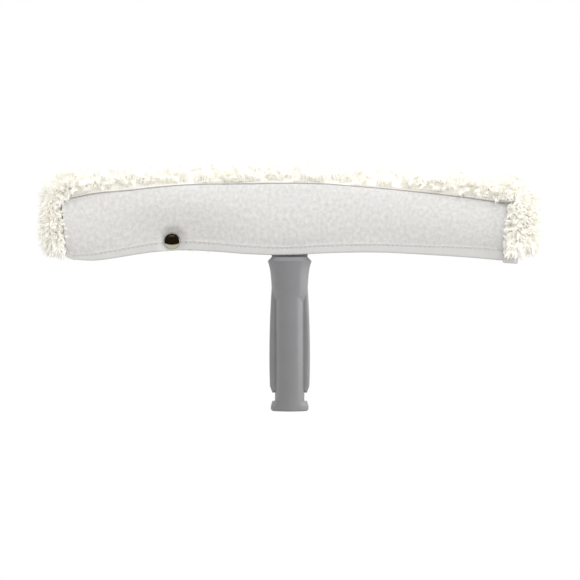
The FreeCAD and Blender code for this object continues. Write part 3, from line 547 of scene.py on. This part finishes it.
# How far the locks of a tuft spread, and how they differ in length, way out, thickness, curl and tint
ROOT_SPREAD = 0.3
LENGTH_SCATTER = 0.18
LENGTH_RANGE = (0.5, 1.4)
SHORTEST = 0.55
LOCK_STRAY = 0.1
THICKNESS_RANGE = (0.7, 1.2)
CURL_TURNS = (3, 7)
CURL_SCATTER = 0.6
TUFT_TINT_SHARE = 0.6

# One lock, as a three-sided spike with rings along its length, one unit in radius and one unit long
deselect()
bpy.ops.mesh.primitive_cone_add(vertices=3, radius1=1, radius2=0, depth=1, location=(0, 0, 0.5))
lock = bpy.context.object
bpy.ops.object.transform_apply(location=True, rotation=True, scale=True)
bpy.ops.object.mode_set(mode="EDIT")
for share in LOCK_RINGS:
    bpy.ops.mesh.select_all(action="SELECT")
    bpy.ops.mesh.bisect(plane_co=(0, 0, share), plane_no=(0, 0, 1))
bpy.ops.mesh.select_all(action="SELECT")
bpy.ops.mesh.quads_convert_to_tris()
bpy.ops.object.mode_set(mode="OBJECT")
lock_points = np.array([point.co for point in lock.data.vertices])
lock_faces = np.array([face.vertices for face in lock.data.polygons])
bpy.data.objects.remove(lock)
# The spike is filled out to a blunt finger
along_lock = lock_points[:, 2]
full = np.sqrt(np.maximum(1 - along_lock ** 3, 0)) / np.maximum(1 - along_lock, 1e-6)
lock_points[:, :2] *= np.where(along_lock < 0.999, full, 1)[:, None]

# The first rows beside the seam are a fringe of thicker locks, which droops over the bare selvage
in_fringe = tuft_from_seam < SELVAGE + FRINGE
tufts = np.repeat(np.arange(len(tuft_root)), LOCKS_PER_TUFT)
tufts = tufts[np.argsort(tuft_root[tufts, 0], kind="stable")]
count = len(tufts)
lean = rng.normal(0, TUFT_LEAN, (len(tuft_root), 3))
on_end = np.abs(tuft_root[:, 0]) > PANEL_END
near_foot = tuft_root[:, 2] < FRONT_EDGE + FOOT_BAND
lean[:, 2] += np.where(in_fringe, -FRINGE_DROOP, np.where(tuft_out[:, 1] < FRONT_FACING, BACK_LIFT, 0))
lean[:, 2] += np.where(near_foot & on_end, -END_DROOP, np.where(near_foot, FOOT_LIFT, 0))
beside = on_end & (tuft_root[:, 1] < 0)
over_tape = beside & near_foot & (tuft_root[:, 0] > 0)
lean[:, 0] -= np.where(beside, END_TUCK, 0) * np.sign(tuft_root[:, 0]) + np.where(over_tape, TAPE_TUCK, 0)
fan = rng.normal(0, 1, (count, 3))
fan = fan - np.sum(fan * tuft_out[tufts], axis=1)[:, None] * tuft_out[tufts]
flap_room = FLAP_ROOM_SHARE * under_flap(tuft_root, tuft_out)
lift = PILE_HEIGHT * LOCK_START * (tuft_stand * (1 - flap_room))[tufts]
root = tuft_root[tufts] + fan * TUFT_PITCH * ROOT_SPREAD + tuft_out[tufts] * lift[:, None]
length = PILE_HEIGHT * LOCK_SHARE * rng.normal(1, LENGTH_SCATTER, count).clip(*LENGTH_RANGE)
length = length * np.where(in_fringe[tufts], 1, SHORTEST + (1 - SHORTEST) * tuft_stand[tufts])
thickness = np.where(in_fringe[tufts], FRINGE_RADIUS, LOCK_RADIUS)
spread = np.where(in_fringe, FRINGE_SPREAD, LOCK_SPREAD)[tufts][:, None]
way = tuft_out[tufts] + lean[tufts] + fan * spread + rng.normal(0, LOCK_STRAY, (count, 3))
tip = way / np.linalg.norm(way, axis=1)[:, None] * length[:, None]
tint = tuft_tint[tufts] * TUFT_TINT_SHARE + rng.random(count) * (1 - TUFT_TINT_SHARE)
tuft_swirl = rng.normal(0, 1, (len(tuft_root), 3))
tuft_phase = rng.uniform(0, 2 * math.pi, len(tuft_root))
tuft_turn = rng.uniform(*CURL_TURNS, len(tuft_root))

# Crimped polyester, so pale that light bounces on from lock to lock, with painted shade: cream at the root,
# deep in the pile, and white at the tip
fibre, tree, shader = new_material("crimped_white_polyester_pile")
strand = add_node(tree, "ShaderNodeUVMap", uv_map="OFBake").outputs["UV"]
split = add_node(tree, "ShaderNodeSeparateXYZ", {"Vector": strand})
# Painted shade along each lock, from its darker cream root to its white tip
ramp = add_node(tree, "ShaderNodeValToRGB", {"Fac": split.outputs["Y"]})
ramp.color_ramp.elements[0].color = linear("F2F0E9")
ramp.color_ramp.elements[1].color = linear("F9F8F5")
ramp.color_ramp.elements[1].position = 0.7
cream = add_node(tree, "ShaderNodeMapRange", {"Value": split.outputs["X"], "To Min": 0.0, "To Max": 0.4})
tone = add_node(tree, "ShaderNodeMix", {0: cream.outputs["Result"], 6: ramp.outputs["Color"],
                                        7: linear("F4F2EB")}, data_type="RGBA")
tree.links.new(tone.outputs[2], shader.inputs["Base Color"])
shader.inputs["Roughness"].default_value = 1.0
shader.inputs["Specular IOR Level"].default_value = 0.0


def grow(name, chosen):
    """One piece of pile: the chosen locks, curved from the mass to their tips."""
    ring = lock_points[:, :2][None]
    h = along_lock[None, :, None]
    bow = tuft_out[tufts[chosen]][:, None] * length[chosen][:, None, None] * LOCK_BOW
    path = root[chosen][:, None] + 2 * h * (1 - h) * bow + h * h * tip[chosen][:, None]
    side = np.cross(tip[chosen], tuft_swirl[tufts[chosen]])
    side = side / np.linalg.norm(side, axis=1)[:, None]
    other = np.cross(tip[chosen], side)
    other = other / np.linalg.norm(other, axis=1)[:, None]
    phase = tuft_phase[tufts[chosen]] + rng.normal(0, CURL_SCATTER, len(chosen))
    phase = phase[:, None, None] + h * tuft_turn[tufts[chosen]][:, None, None]
    path = path + CURL * h * (np.cos(phase) * side[:, None] + np.sin(phase) * other[:, None])
    thick = thickness[chosen][:, None, None] * rng.uniform(*THICKNESS_RANGE, (len(chosen), 1, 1))
    points = path + thick * (ring[..., 0:1] * side[:, None] + ring[..., 1:2] * other[:, None])
    faces = lock_faces[None] + (np.arange(len(chosen)) * len(lock_points))[:, None, None]
    mesh = bpy.data.meshes.new(name)
    mesh.vertices.add(points.size // 3)
    mesh.vertices.foreach_set("co", points.ravel())
    mesh.loops.add(faces.size)
    mesh.loops.foreach_set("vertex_index", faces.ravel().astype(np.int32))
    mesh.polygons.add(faces.size // 3)
    mesh.polygons.foreach_set("loop_start", np.arange(0, faces.size, 3, dtype=np.int32))
    mesh.update(calc_edges=True)
    # Flat faces: shaded smooth, so thin a lock would swallow much of the light
    mesh.polygons.foreach_set("use_smooth", np.zeros(faces.size // 3, dtype=bool))
    shade = np.stack([np.broadcast_to(tint[chosen][:, None], points.shape[:2]),
                      np.broadcast_to(h[..., 0], points.shape[:2])], -1).reshape(-1, 2)
    layer = mesh.uv_layers.new(name="OFBake")
    layer.data.foreach_set("uv", shade[faces.ravel()].ravel())
    piece = bpy.data.objects.new(name, mesh)
    bpy.context.scene.collection.objects.link(piece)
    dress(piece, fibre)
    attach(piece, "sleeve")
    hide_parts("plush_cover")
    return piece


def grow_pieces(name, chosen):
    """Pieces of pile of a size that can be handled, from the chosen locks in order along the sleeve."""
    starts = range(0, len(chosen), PIECE_LOCKS)
    return [grow(f"{name}_{i + 1}", chosen[start:start + PIECE_LOCKS]) for i, start in enumerate(starts)]


# The locks behind the top, on which the opened flap comes to lie, are made into pieces of their own, each
# with its own mesh
pressed = (flap_room > PRESSED_SHARE * FLAP_ROOM_SHARE)[tufts]
pile = grow_pieces("plush_pile", np.flatnonzero(~pressed))
fringe = grow_pieces("plush_fringe", np.flatnonzero(pressed))
for piece in fringe:
    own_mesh(piece)


# Felt back
# A panel of white needled felt, about two millimetres thick, sewn to the plush along its arched top. Its
# lower part hangs free as a flap and is drawn in under the bar where the press stud holds it.
FELT_THICKNESS = 1.9 * MM
FELT_LENGTH = 58 * MM
FELT_FACE = -6.5 * MM
SNAP = Vector((-105.5, 0, 152.4)) * MM
PUCKER = 4.8 * MM
DIMPLE = 3.4 * MM
PUCKER_TOP = 190 * MM
PUCKER_FOOT = 157 * MM
PUCKER_LEFT = 92 * MM
PUCKER_RIGHT = 80 * MM
DIMPLE_FLOOR = 7.6 * MM
DIMPLE_REACH = 14 * MM
BARREL = 3.0 * MM
PUCKER_CORE = 0.08
RIPPLE = 0.35 * MM
# How far each slow wave runs in a radian, along the sleeve and up it, and where it starts
RIPPLE_WAVES = ((31 * MM, 19 * MM, 0.0), (17 * MM, -23 * MM, 1.3))
RIPPLE_END = 0.7
LEAN_POWER = 6
FELT_COLUMNS = 160

# Heights of the hem's lower edge along the sleeve, and how wide the tape on it shows
hem_line = smooth_line([(-200, 139.6), (-196, 136.6), (-188, 135.5), (-174, 135.1), (-160, 136.8),
                        (-142, 139.8), (-120, 143.0), (-95, 144.5), (-70, 143.4), (-35, 140.8), (0, 140.0),
                        (30, 141.6), (85, 142.2), (125, 140.2), (165, 137.6), (198, 134.6)])
hem_width = smooth_line([(-200, 3.0), (-192, 3.5), (-174, 5.4), (-142, 6.4), (0, 6.2), (120, 6.9), (165, 8.0),
                         (198, 8.8)])


def step_line(x):
    """Height at which the felt steps down onto the tape."""
    return hem_line(x) + hem_width(x)


def dimple_share(x, z):
    """How far a place lies in the dimple round the cap, from 0 to 1."""
    return 1 - step_smooth(DIMPLE_FLOOR, DIMPLE_REACH, np.hypot(x - SNAP.x, z - SNAP.z))


def drawn_in(x, z):
    """How far the press stud pulls the cloth in at a place: a wide slack and a dimple round the cap."""
    aside = np.where(x < SNAP.x, (SNAP.x - x) / PUCKER_LEFT, (x - SNAP.x) / PUCKER_RIGHT)
    slack = (1 - step_smooth(PUCKER_CORE, 1, aside)) * step_smooth(PUCKER_TOP, PUCKER_FOOT, z)
    return PUCKER * slack + DIMPLE * dimple_share(x, z)


def ripple(x, z):
    """Slow waves of cloth that hangs on a bar."""
    return RIPPLE * sum(np.sin(x / along + z / up + start) for along, up, start in RIPPLE_WAVES)


# Rows of the felt from the seam down: share of the way to the hem's step, and then how far below and how far
# out in millimetres
SEAM_ROWS = [(0.0, 0.0, -1.9), (0.0, 0.35, -1.0), (0.0, 1.0, -0.35), (0.0, 2.2, 0.0)]
BODY_ROWS = [(share, 0.0, 0.0) for share in np.linspace(0.08, 0.92, 22)]
STEP_ROWS = [(1.0, -2.0, 0.25), (1.0, -1.0, 0.45), (1.0, -0.35, 0.5), (1.0, 0.0, 0.2), (1.0, 0.15, -0.3)]
HIDDEN_ROWS = [(1.0, 0.8, -0.35), (1.0, 1.7, -0.35), (1.0, 2.6, -0.35)]
FELT_ROWS = np.array(SEAM_ROWS + BODY_ROWS + STEP_ROWS + HIDDEN_ROWS)


def felt_surface(u, v):
    """Outer face of the felt: u runs along the sleeve, v from the hem up to the seam."""
    row = (1 - v) * (len(FELT_ROWS) - 1)
    share, below, out = (np.interp(row, np.arange(len(FELT_ROWS)), column) for column in FELT_ROWS.T)
    tuck = LEAN_LEFT * (1 - u) ** LEAN_POWER - LEAN_RIGHT * u ** LEAN_POWER
    x = FELT_LEFT + (FELT_RIGHT - FELT_LEFT) * u + tuck * np.clip(share, 0, 1)
    top = seam_line(x)
    z = top + (step_line(x) - top) * share - below * MM
    quiet = 1 - step_smooth(RIPPLE_END, 1, np.abs(2 * share - 1))
    barrel = BARREL * (1 - (2 * share - 1) ** 2) * (1 - dimple_share(x, z))
    y = FELT_FACE - out * MM - barrel + drawn_in(x, z) - ripple(x, z) * quiet
    return np.stack([x, y, z], -1)


felt = new_cloth("felt_back", (FELT_COLUMNS, len(FELT_ROWS) - 1), felt_surface,
                 (FELT_RIGHT - FELT_LEFT, FELT_LENGTH))
apply_modifier(felt, "SOLIDIFY", thickness=FELT_THICKNESS, offset=-1.0)
shade_smooth(felt, 60)

# Needled felt: matted white fibre, mottled where the mat is thin, with hardly any gloss and a little fuzz.
# Painted shade makes it greyer towards the hem and a little lighter towards the seam, as light from above
# would
MOTTLE = 3.4 * MM
FIBRE = 0.7 * MM
needled, tree, shader = new_material("white_needled_felt")
laid = add_node(tree, "ShaderNodeUVMap", uv_map="cloth").outputs["UV"]
mottle = add_node(tree, "ShaderNodeTexNoise",
                  {"Vector": laid, "Scale": 1 / MOTTLE, "Detail": 5.0, "Roughness": 0.65})
fibres = add_node(tree, "ShaderNodeTexNoise",
                  {"Vector": laid, "Scale": 1 / FIBRE, "Detail": 4.0, "Distortion": 1.5})
ramp = add_node(tree, "ShaderNodeValToRGB", {"Fac": mottle.outputs["Fac"]})
ramp.color_ramp.elements[0].position = 0.3
ramp.color_ramp.elements[0].color = linear("BDBCBA")
ramp.color_ramp.elements[1].position = 0.68
ramp.color_ramp.elements[1].color = linear("D3D2D0")
bump = add_node(tree, "ShaderNodeBump",
                {"Height": fibres.outputs["Fac"], "Strength": 0.45, "Distance": 0.35 * MM})
split = add_node(tree, "ShaderNodeSeparateXYZ", {"Vector": laid})
# Painted shade: the felt's colour is scaled from 0.94 at the hem up to 1.05 at the seam
painted_shade_ramp = add_node(tree, "ShaderNodeMapRange",
                {"Value": split.outputs["Y"], "From Max": FELT_LENGTH, "To Min": 0.94, "To Max": 1.05})
tone = add_node(tree, "ShaderNodeVectorMath",
                {0: ramp.outputs["Color"], "Scale": painted_shade_ramp.outputs["Result"]}, operation="SCALE")
tree.links.new(tone.outputs["Vector"], shader.inputs["Base Color"])
tree.links.new(bump.outputs["Normal"], shader.inputs["Normal"])
shader.inputs["Roughness"].default_value = 1.0
shader.inputs["Specular IOR Level"].default_value = 0.2
shader.inputs["Sheen Weight"].default_value = 0.15
dress(felt, needled)
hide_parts("felt_top", "felt_flap")
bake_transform(felt)


# Hem tape
# A woven polyester ribbon folded round the felt's lower edge and sewn through it. Its end at the right is
# turned back on itself and stands out as a small tab.
TAPE_THICKNESS = 0.5 * MM
TAPE_LEFT = -199.2 * MM
TAPE_RIGHT = 192.5 * MM
TAPE_FLAT = (388 * MM, 16 * MM)
# Rows of the tape from its upper edge, under the hem and up behind: share of its width, and depth in
# millimetres
TAPE_FOLD = np.array([(1.04, -6.35), (1.0, -6.75), (0.88, -6.8), (0.64, -6.8), (0.36, -6.8), (0.12, -6.8),
                      (0.0, -6.7), (-0.07, -6.2), (-0.09, -5.4), (-0.07, -4.6), (0.03, -4.1), (0.4, -4.1)])


def tape_surface(u, v):
    """Outer face of the tape: v runs from inside the hem, under it and up the outer face."""
    row = (1 - v) * (len(TAPE_FOLD) - 1)
    share, depth = (np.interp(row, np.arange(len(TAPE_FOLD)), column) for column in TAPE_FOLD.T)
    x = TAPE_LEFT + (TAPE_RIGHT - TAPE_LEFT) * u
    z = hem_line(x) + hem_width(x) * share
    y = depth * MM + drawn_in(x, z)
    return np.stack([x, y, z], -1)


tape = new_cloth("hem_tape", (FELT_COLUMNS, len(TAPE_FOLD) - 1), tape_surface, TAPE_FLAT)
apply_modifier(tape, "SOLIDIFY", thickness=TAPE_THICKNESS, offset=-1.0)
shade_smooth(tape)

TAB_MIDDLE = Vector((197.2, -6.9, 135.8)) * MM
TAB_SIZE = Vector((13.6, 2.4, 7.4)) * MM
TAB_TILT = math.radians(4)
TAB_ROUND = 1.15 * MM
deselect()
bpy.ops.mesh.primitive_cube_add(size=1, location=TAB_MIDDLE, rotation=(0, TAB_TILT, 0), scale=TAB_SIZE)
tab = bpy.context.object
bpy.ops.object.transform_apply(location=True, rotation=True, scale=True)
tab.data.uv_layers[0].name = "cloth"
apply_modifier(tab, "BEVEL", width=TAB_ROUND, segments=5, limit_method="NONE")
shade_smooth(tab)
tape = join(tape, tab)

# Woven polyester tape: cross ribs, drawn about twice as coarse as real ones so that they show, on a ground
# smoother and a shade greyer than the felt
RIB_PITCH = 1.1 * MM
TAPE_WEAR = 9 * MM
woven, tree, shader = new_material("woven_white_polyester_tape")
place = add_node(tree, "ShaderNodeTexCoord").outputs["Object"]
ribs = add_node(tree, "ShaderNodeTexWave",
                {"Vector": place, "Scale": 1 / RIB_PITCH / WAVE_BANDS, "Distortion": 0.6, "Detail": 1.0},
                bands_direction="X")
wear = add_node(tree, "ShaderNodeTexNoise", {"Vector": place, "Scale": 1 / TAPE_WEAR, "Detail": 3.0})
tone = add_node(tree, "ShaderNodeMix", {0: wear.outputs["Fac"], 6: linear("BEBDBB"),
                                        7: linear("C7C6C4")}, data_type="RGBA")
bump = add_node(tree, "ShaderNodeBump",
                {"Height": ribs.outputs["Fac"], "Strength": 0.25, "Distance": 0.15 * MM})
tree.links.new(tone.outputs[2], shader.inputs["Base Color"])
tree.links.new(bump.outputs["Normal"], shader.inputs["Normal"])
shader.inputs["Roughness"].default_value = 0.75
dress(tape, woven)
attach(tape, "flap")
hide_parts("flap_hem_tape")


# Hem stitching
# A straight run of white lockstitch that holds the tape to the felt. Each stitch sinks into the cloth, and
# its thread is painted grey as the shade of the pit it lies in, so that it reads as a short grey dash.
STITCH_RADIUS = 0.32 * MM
STITCH_LENGTH = 2.6 * MM
STITCH_PITCH = 4.1 * MM
STITCH_INSET = 0.5 * MM
STITCH_FACE = -6.85 * MM
HEM_RUN_LEFT = -193 * MM
HEM_RUN_RIGHT = 191 * MM
SNAP_ROOM = 9 * MM


def stitch_run(name, line, start, end, pitch, stretch, face):
    """Row of stitches along a line of heights, lying on the surface whose depth is face(x, z)."""
    deselect()
    bpy.ops.mesh.primitive_uv_sphere_add(segments=8, ring_count=6, radius=1)
    single = bpy.context.object
    bpy.ops.object.mode_set(mode="EDIT")
    bpy.ops.mesh.select_all(action="SELECT")
    bpy.ops.transform.rotate(value=math.pi / 2, orient_axis="Y", center_override=(0, 0, 0))
    bpy.ops.transform.resize(value=(stretch / 2, STITCH_RADIUS, STITCH_RADIUS), center_override=(0, 0, 0))
    bpy.ops.object.mode_set(mode="OBJECT")
    copies = []
    for x in np.arange(start, end, pitch):
        z = float(line(np.array(x)))
        ahead = float(line(np.array(x + pitch / 2)))
        copy = bpy.data.objects.new(name, single.data.copy())
        bpy.context.scene.collection.objects.link(copy)
        copy.location = (x, float(face(x, z)), z)
        copy.rotation_euler = (0, -math.atan2(ahead - z, pitch / 2), 0)
        copies.append(copy)
    bpy.data.objects.remove(single)
    run = join(*copies)
    bpy.ops.object.transform_apply(location=True, rotation=True, scale=True)
    shade_smooth(run, 80)
    return run


# Spun polyester thread: matt grey-white with a fine twist
TWIST_PITCH = 0.6 * MM


def thread_material(name, light, dark):
    """Thread whose twist runs from a dark colour to a light one."""
    material, tree, shader = new_material(name)
    place = add_node(tree, "ShaderNodeTexCoord").outputs["Object"]
    twist = add_node(tree, "ShaderNodeTexWave",
                     {"Vector": place, "Scale": 1 / TWIST_PITCH / WAVE_BANDS, "Distortion": 1.0},
                     bands_direction="DIAGONAL")
    tone = add_node(tree, "ShaderNodeMix", {0: twist.outputs["Fac"], 6: linear(dark),
                                            7: linear(light)}, data_type="RGBA")
    tree.links.new(tone.outputs[2], shader.inputs["Base Color"])
    shader.inputs["Roughness"].default_value = 0.85
    return material


def stitch_line(x):
    """Height of the stitches, just below the step from felt to tape."""
    return step_line(x) - STITCH_INSET


def tape_face(x, z):
    """Depth at which the stitches lie on the tape."""
    return STITCH_FACE + drawn_in(x, z)


hem_stitches = join(stitch_run("hem_stitches", stitch_line, HEM_RUN_LEFT, SNAP.x - SNAP_ROOM,
                               STITCH_PITCH, STITCH_LENGTH, tape_face),
                    stitch_run("hem_stitches_right", stitch_line, SNAP.x + SNAP_ROOM, HEM_RUN_RIGHT,
                               STITCH_PITCH, STITCH_LENGTH, tape_face))
# The thread's grey is painted shade, for the pits into which the stitches sink
dress(hem_stitches, thread_material("white_thread_painted_pit_shade", "C4C2BE", "A9A7A3"))
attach(hem_stitches, "flap")
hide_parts("flap_hem_thread")


# Top seam
# A tight run of grey spun thread in the groove where the felt's arched edge meets the bare edge of the plush
# backing. Its stitches touch end to end, so that it reads as one line.
SEAM_DEPTH = -5.0 * MM
SEAM_RISE = 0.35 * MM
SEAM_RUN_LEFT = -198 * MM
SEAM_RUN_RIGHT = 196.5 * MM
SEAM_PITCH = 2.6 * MM
SEAM_STITCH = 2.7 * MM


def groove_line(x):
    """Height of the groove between felt and backing."""
    return seam_line(x) + SEAM_RISE


def groove_face(x, z):
    """Depth of the groove, the same all along."""
    return SEAM_DEPTH


seam_stitches = stitch_run("seam_stitches", groove_line, SEAM_RUN_LEFT, SEAM_RUN_RIGHT,
                           SEAM_PITCH, SEAM_STITCH, groove_face)
dress(seam_stitches, thread_material("spun_grey_thread", "CFCBCE", "B9B5B9"))
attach(seam_stitches, "sleeve")
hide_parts("top_seam_thread")


# Front hem
# The same woven tape, flat on the inner face of the plush front along its lower edge, with one run of the
# same stitches. The stud is set through it.
FRONT_TAPE_END = 188 * MM
FRONT_TAPE_FACE = 8.45 * MM
FRONT_TAPE_LOW = 145.3 * MM
FRONT_TAPE_WIDTH = 13.6 * MM
FRONT_TAPE_GRID = (90, 4)
FRONT_RIPPLE = 0.06 * MM
FRONT_WAVE = 7 * MM
FRONT_STITCH_RISE = 0.7 * MM
FRONT_STITCH_END = 183 * MM


def front_tape_surface(u, v):
    """Inner face of the tape: u runs along the sleeve, v up."""
    x = FRONT_TAPE_END * (2 * u - 1)
    z = FRONT_TAPE_LOW + FRONT_TAPE_WIDTH * v
    y = FRONT_TAPE_FACE - TAPE_THICKNESS + FRONT_RIPPLE * np.sin(x / FRONT_WAVE)
    return np.stack([x, y, z], -1)


def front_stitch_line(x):
    """Height of the stitches, the same all along."""
    return FRONT_TAPE_LOW + FRONT_STITCH_RISE


def front_stitch_face(x, z):
    """Depth at which the stitches lie on the tape."""
    return FRONT_TAPE_FACE - TAPE_THICKNESS


front_tape = new_cloth("front_hem_ribbon", FRONT_TAPE_GRID, front_tape_surface,
                       (2 * FRONT_TAPE_END, FRONT_TAPE_WIDTH))
apply_modifier(front_tape, "SOLIDIFY", thickness=TAPE_THICKNESS, offset=-1.0)
shade_smooth(front_tape)
dress(front_tape, woven)
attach(front_tape, "sleeve")
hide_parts("front_hem_tape")

front_stitches = stitch_run("front_stitches", front_stitch_line, -FRONT_STITCH_END, FRONT_STITCH_END,
                            STITCH_PITCH, STITCH_LENGTH, front_stitch_face)
dress(front_stitches, hem_stitches.data.materials[0])
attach(front_stitches, "sleeve")
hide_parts("front_hem_thread")


# Press stud
# A drawn brass cap, nickel plated and polished, riveted through the felt to its socket; the stud it snaps
# onto is set in the plush front.
CAP_BASE = 1.2 * MM
CAP_RADIUS = 7.5 * MM
CAP_DOME = 3.2 * MM
CAP_RIM = 0.9 * MM
CAP_ROLL = 0.35 * MM
POST_RADIUS = 2 * MM
POST_END = 3.0 * MM
DOME_POINTS = 14
NICKEL_HAZE = 3 * MM

# Polished nickel: a warm mirror with the faint haze of handling
nickel, tree, shader = new_material("polished_nickel_plate")
place = add_node(tree, "ShaderNodeTexCoord").outputs["Object"]
haze = add_node(tree, "ShaderNodeTexNoise", {"Vector": place, "Scale": 1 / NICKEL_HAZE, "Detail": 4.0})
gloss = add_node(tree, "ShaderNodeMapRange", {"Value": haze.outputs["Fac"], "To Min": 0.05, "To Max": 0.14})
tree.links.new(gloss.outputs["Result"], shader.inputs["Roughness"])
shader.inputs["Base Color"].default_value = linear("D6CFC2")
shader.inputs["Metallic"].default_value = 1.0

dome_radius = (CAP_RADIUS ** 2 + (CAP_DOME - CAP_RIM) ** 2) / (2 * (CAP_DOME - CAP_RIM))
rim_turn = math.asin((CAP_RADIUS - CAP_ROLL) / dome_radius)
dome = [(dome_radius * math.sin(turn), dome_radius * (1 - math.cos(turn)) - CAP_DOME)
        for turn in np.linspace(0, rim_turn, DOME_POINTS)]
rim = [(CAP_RADIUS, -CAP_RIM + CAP_ROLL), (CAP_RADIUS, -CAP_ROLL), (CAP_RADIUS - CAP_ROLL, 0)]
post = [(POST_RADIUS, 0), (POST_RADIUS, POST_END), (0, POST_END)]
profile = [(SNAP.x + radius, CAP_BASE + depth, SNAP.z) for radius, depth in dome + rim + post]
mesh = bpy.data.meshes.new("snap_cap_dome")
mesh.from_pydata(profile, [(i, i + 1) for i in range(len(profile) - 1)], [])
cap = bpy.data.objects.new("snap_cap_dome", mesh)
bpy.context.scene.collection.objects.link(cap)
pick(cap)
bpy.ops.object.mode_set(mode="EDIT")
bpy.ops.mesh.select_all(action="SELECT")
bpy.ops.mesh.spin(steps=64, angle=2 * math.pi, center=(SNAP.x, 0, SNAP.z), axis=(0, 1, 0))
bpy.ops.mesh.select_all(action="SELECT")
bpy.ops.mesh.remove_doubles(threshold=0.01 * MM)
bpy.ops.mesh.normals_make_consistent(inside=False)
bpy.ops.object.mode_set(mode="OBJECT")
shade_smooth(cap, 40)
dress(cap, nickel)
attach(cap, "flap")
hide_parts("snap_cap")
for name in ("snap_socket", "socket_spring", "snap_stud", "stud_rivet"):
    dress(nodes[name], nickel)


# Studio
# A white table in a white room, lit from all round, with soft lights from the right and from above and a fill
# from the front. The room ahead is dark and a window stands at the right, for the press stud and the handle
# to reflect.
CAMERA_PLACE = (0.3 * MM, -2.0, 108.3 * MM)
CAMERA_LENS = 138.6
SENSOR_WIDTH = 36
FLOOR_RADIUS = 8
ROOM_RADIUS = 9
SCREEN_RADIUS = 6
SCREEN_EDGE = -0.2

deselect()
bpy.ops.mesh.primitive_circle_add(vertices=96, radius=FLOOR_RADIUS, fill_type="NGON", location=(0, 0, 0))
floor = bpy.context.object
floor.name = "studio_floor"
deselect()
bpy.ops.mesh.primitive_uv_sphere_add(segments=48, ring_count=24, radius=ROOM_RADIUS)
room = bpy.context.object
room.name = "studio_room"
for stage_piece in (floor, room):
    stage_piece.visible_diffuse = False
    stage_piece.visible_glossy = False
    stage_piece.visible_shadow = False
    stage_piece.visible_transmission = False


def stage_plane(name, place, turn, width, depth):
    """Flat stage piece that the camera doesn't see."""
    deselect()
    bpy.ops.mesh.primitive_plane_add(size=1, location=place, rotation=turn)
    plane = bpy.context.object
    plane.name = name
    plane.scale = (width, depth, 1)
    plane.visible_camera = False
    return plane


table = stage_plane("white_table", (0, 0.09, -0.5 * MM), (0, 0, 0), 1.4, 0.68)
panel = stage_plane("dim_ceiling_panel", (-0.35, -2.3, 2.1), (math.radians(49), 0, 0), 2.2, 0.8)
window = stage_plane("side_window", (2.4, 0.12, 0.5), (math.pi / 2, 0, math.pi / 2), 2.3, 2.0)
for stage_piece in (panel, window):
    stage_piece.visible_diffuse = False
    stage_piece.visible_shadow = False


def glowing(name, colour, strength):
    """Material that only gives light."""
    material, tree, shader = new_material(name)
    tree.nodes.remove(shader)
    glow = add_node(tree, "ShaderNodeEmission", {"Color": linear(colour), "Strength": strength})
    tree.links.new(glow.outputs["Emission"], tree.nodes["Material Output"].inputs["Surface"])
    return material


white = glowing("white_backdrop", "FFFFFF", 1.0)
dress(floor, white)
dress(room, white)
dress(table, glowing("white_table_top", "F4F3EC", 0.8))
dress(panel, glowing("dim_panel", "7A7068", 0.5))
dress(window, glowing("window_light", "FFFFFF", 2.6))

# The dark half of the room, which only reflections show
deselect()
bpy.ops.mesh.primitive_uv_sphere_add(segments=48, ring_count=24, radius=SCREEN_RADIUS)
screen = bpy.context.object
screen.name = "dark_room_ahead"
bpy.ops.object.mode_set(mode="EDIT")
bpy.ops.mesh.select_all(action="SELECT")
bpy.ops.mesh.bisect(plane_co=(0, SCREEN_EDGE, 0), plane_no=(0, 1, 0), clear_outer=True)
bpy.ops.object.mode_set(mode="OBJECT")
screen.visible_camera = False
screen.visible_diffuse = False
screen.visible_shadow = False
screen.visible_transmission = False
dress(screen, glowing("dark_room", "241A10", 0.8))

# Light from all round, a little stronger from above
world = bpy.data.worlds.new("studio")
bpy.context.scene.world = world
world.use_nodes = True
tree = world.node_tree
sky = add_node(tree, "ShaderNodeTexCoord").outputs["Generated"]
height = add_node(tree, "ShaderNodeSeparateXYZ", {"Vector": sky})
glow = add_node(tree, "ShaderNodeMapRange",
                {"Value": height.outputs["Z"], "From Min": -1.0, "To Min": 1.1, "To Max": 1.24})
tree.links.new(glow.outputs["Result"], tree.nodes["Background"].inputs["Strength"])
tree.nodes["Background"].inputs["Color"].default_value = linear("FFFFFF")


def soft_light(name, place, target, size, power):
    """Area light of a size in metres and a power in watts, aimed at a target."""
    lamp = bpy.data.lights.new(name, "AREA")
    lamp.shape = "RECTANGLE"
    lamp.size, lamp.size_y = size
    lamp.energy = power
    holder = bpy.data.objects.new(name, lamp)
    bpy.context.scene.collection.objects.link(holder)
    holder.location = place
    holder.rotation_euler = (Vector(target) - Vector(place)).to_track_quat("-Z", "Y").to_euler()
    return holder


key = soft_light("key_light", (2.4, -0.62, 0.8), (0, 0, 0.15), (0.9, 0.9), 16)
fill = soft_light("fill_light", (1.3, -1.9, 1.7), (0, 0, 0.15), (1.2, 1.2), 16)
top = soft_light("top_light", (0, -0.1, 1.6), (0, 0, 0.18), (2.0, 1.2), 3)
for light in (fill, top):
    light.visible_glossy = False
for light in (key, fill, top):
    light.visible_camera = False

lens = bpy.data.cameras.new("camera")
lens.sensor_width = SENSOR_WIDTH
lens.lens = CAMERA_LENS
camera = bpy.data.objects.new("camera", lens)
bpy.context.scene.collection.objects.link(camera)
camera.location = CAMERA_PLACE
camera.rotation_euler = (math.pi / 2, 0, 0)
bpy.context.scene.camera = camera
bpy.context.scene.view_settings.view_transform = "Standard"
# Light has to bounce many times between white fibres before it is lost
bpy.context.scene.cycles.diffuse_bounces = 32
bpy.context.scene.cycles.max_bounces = 40
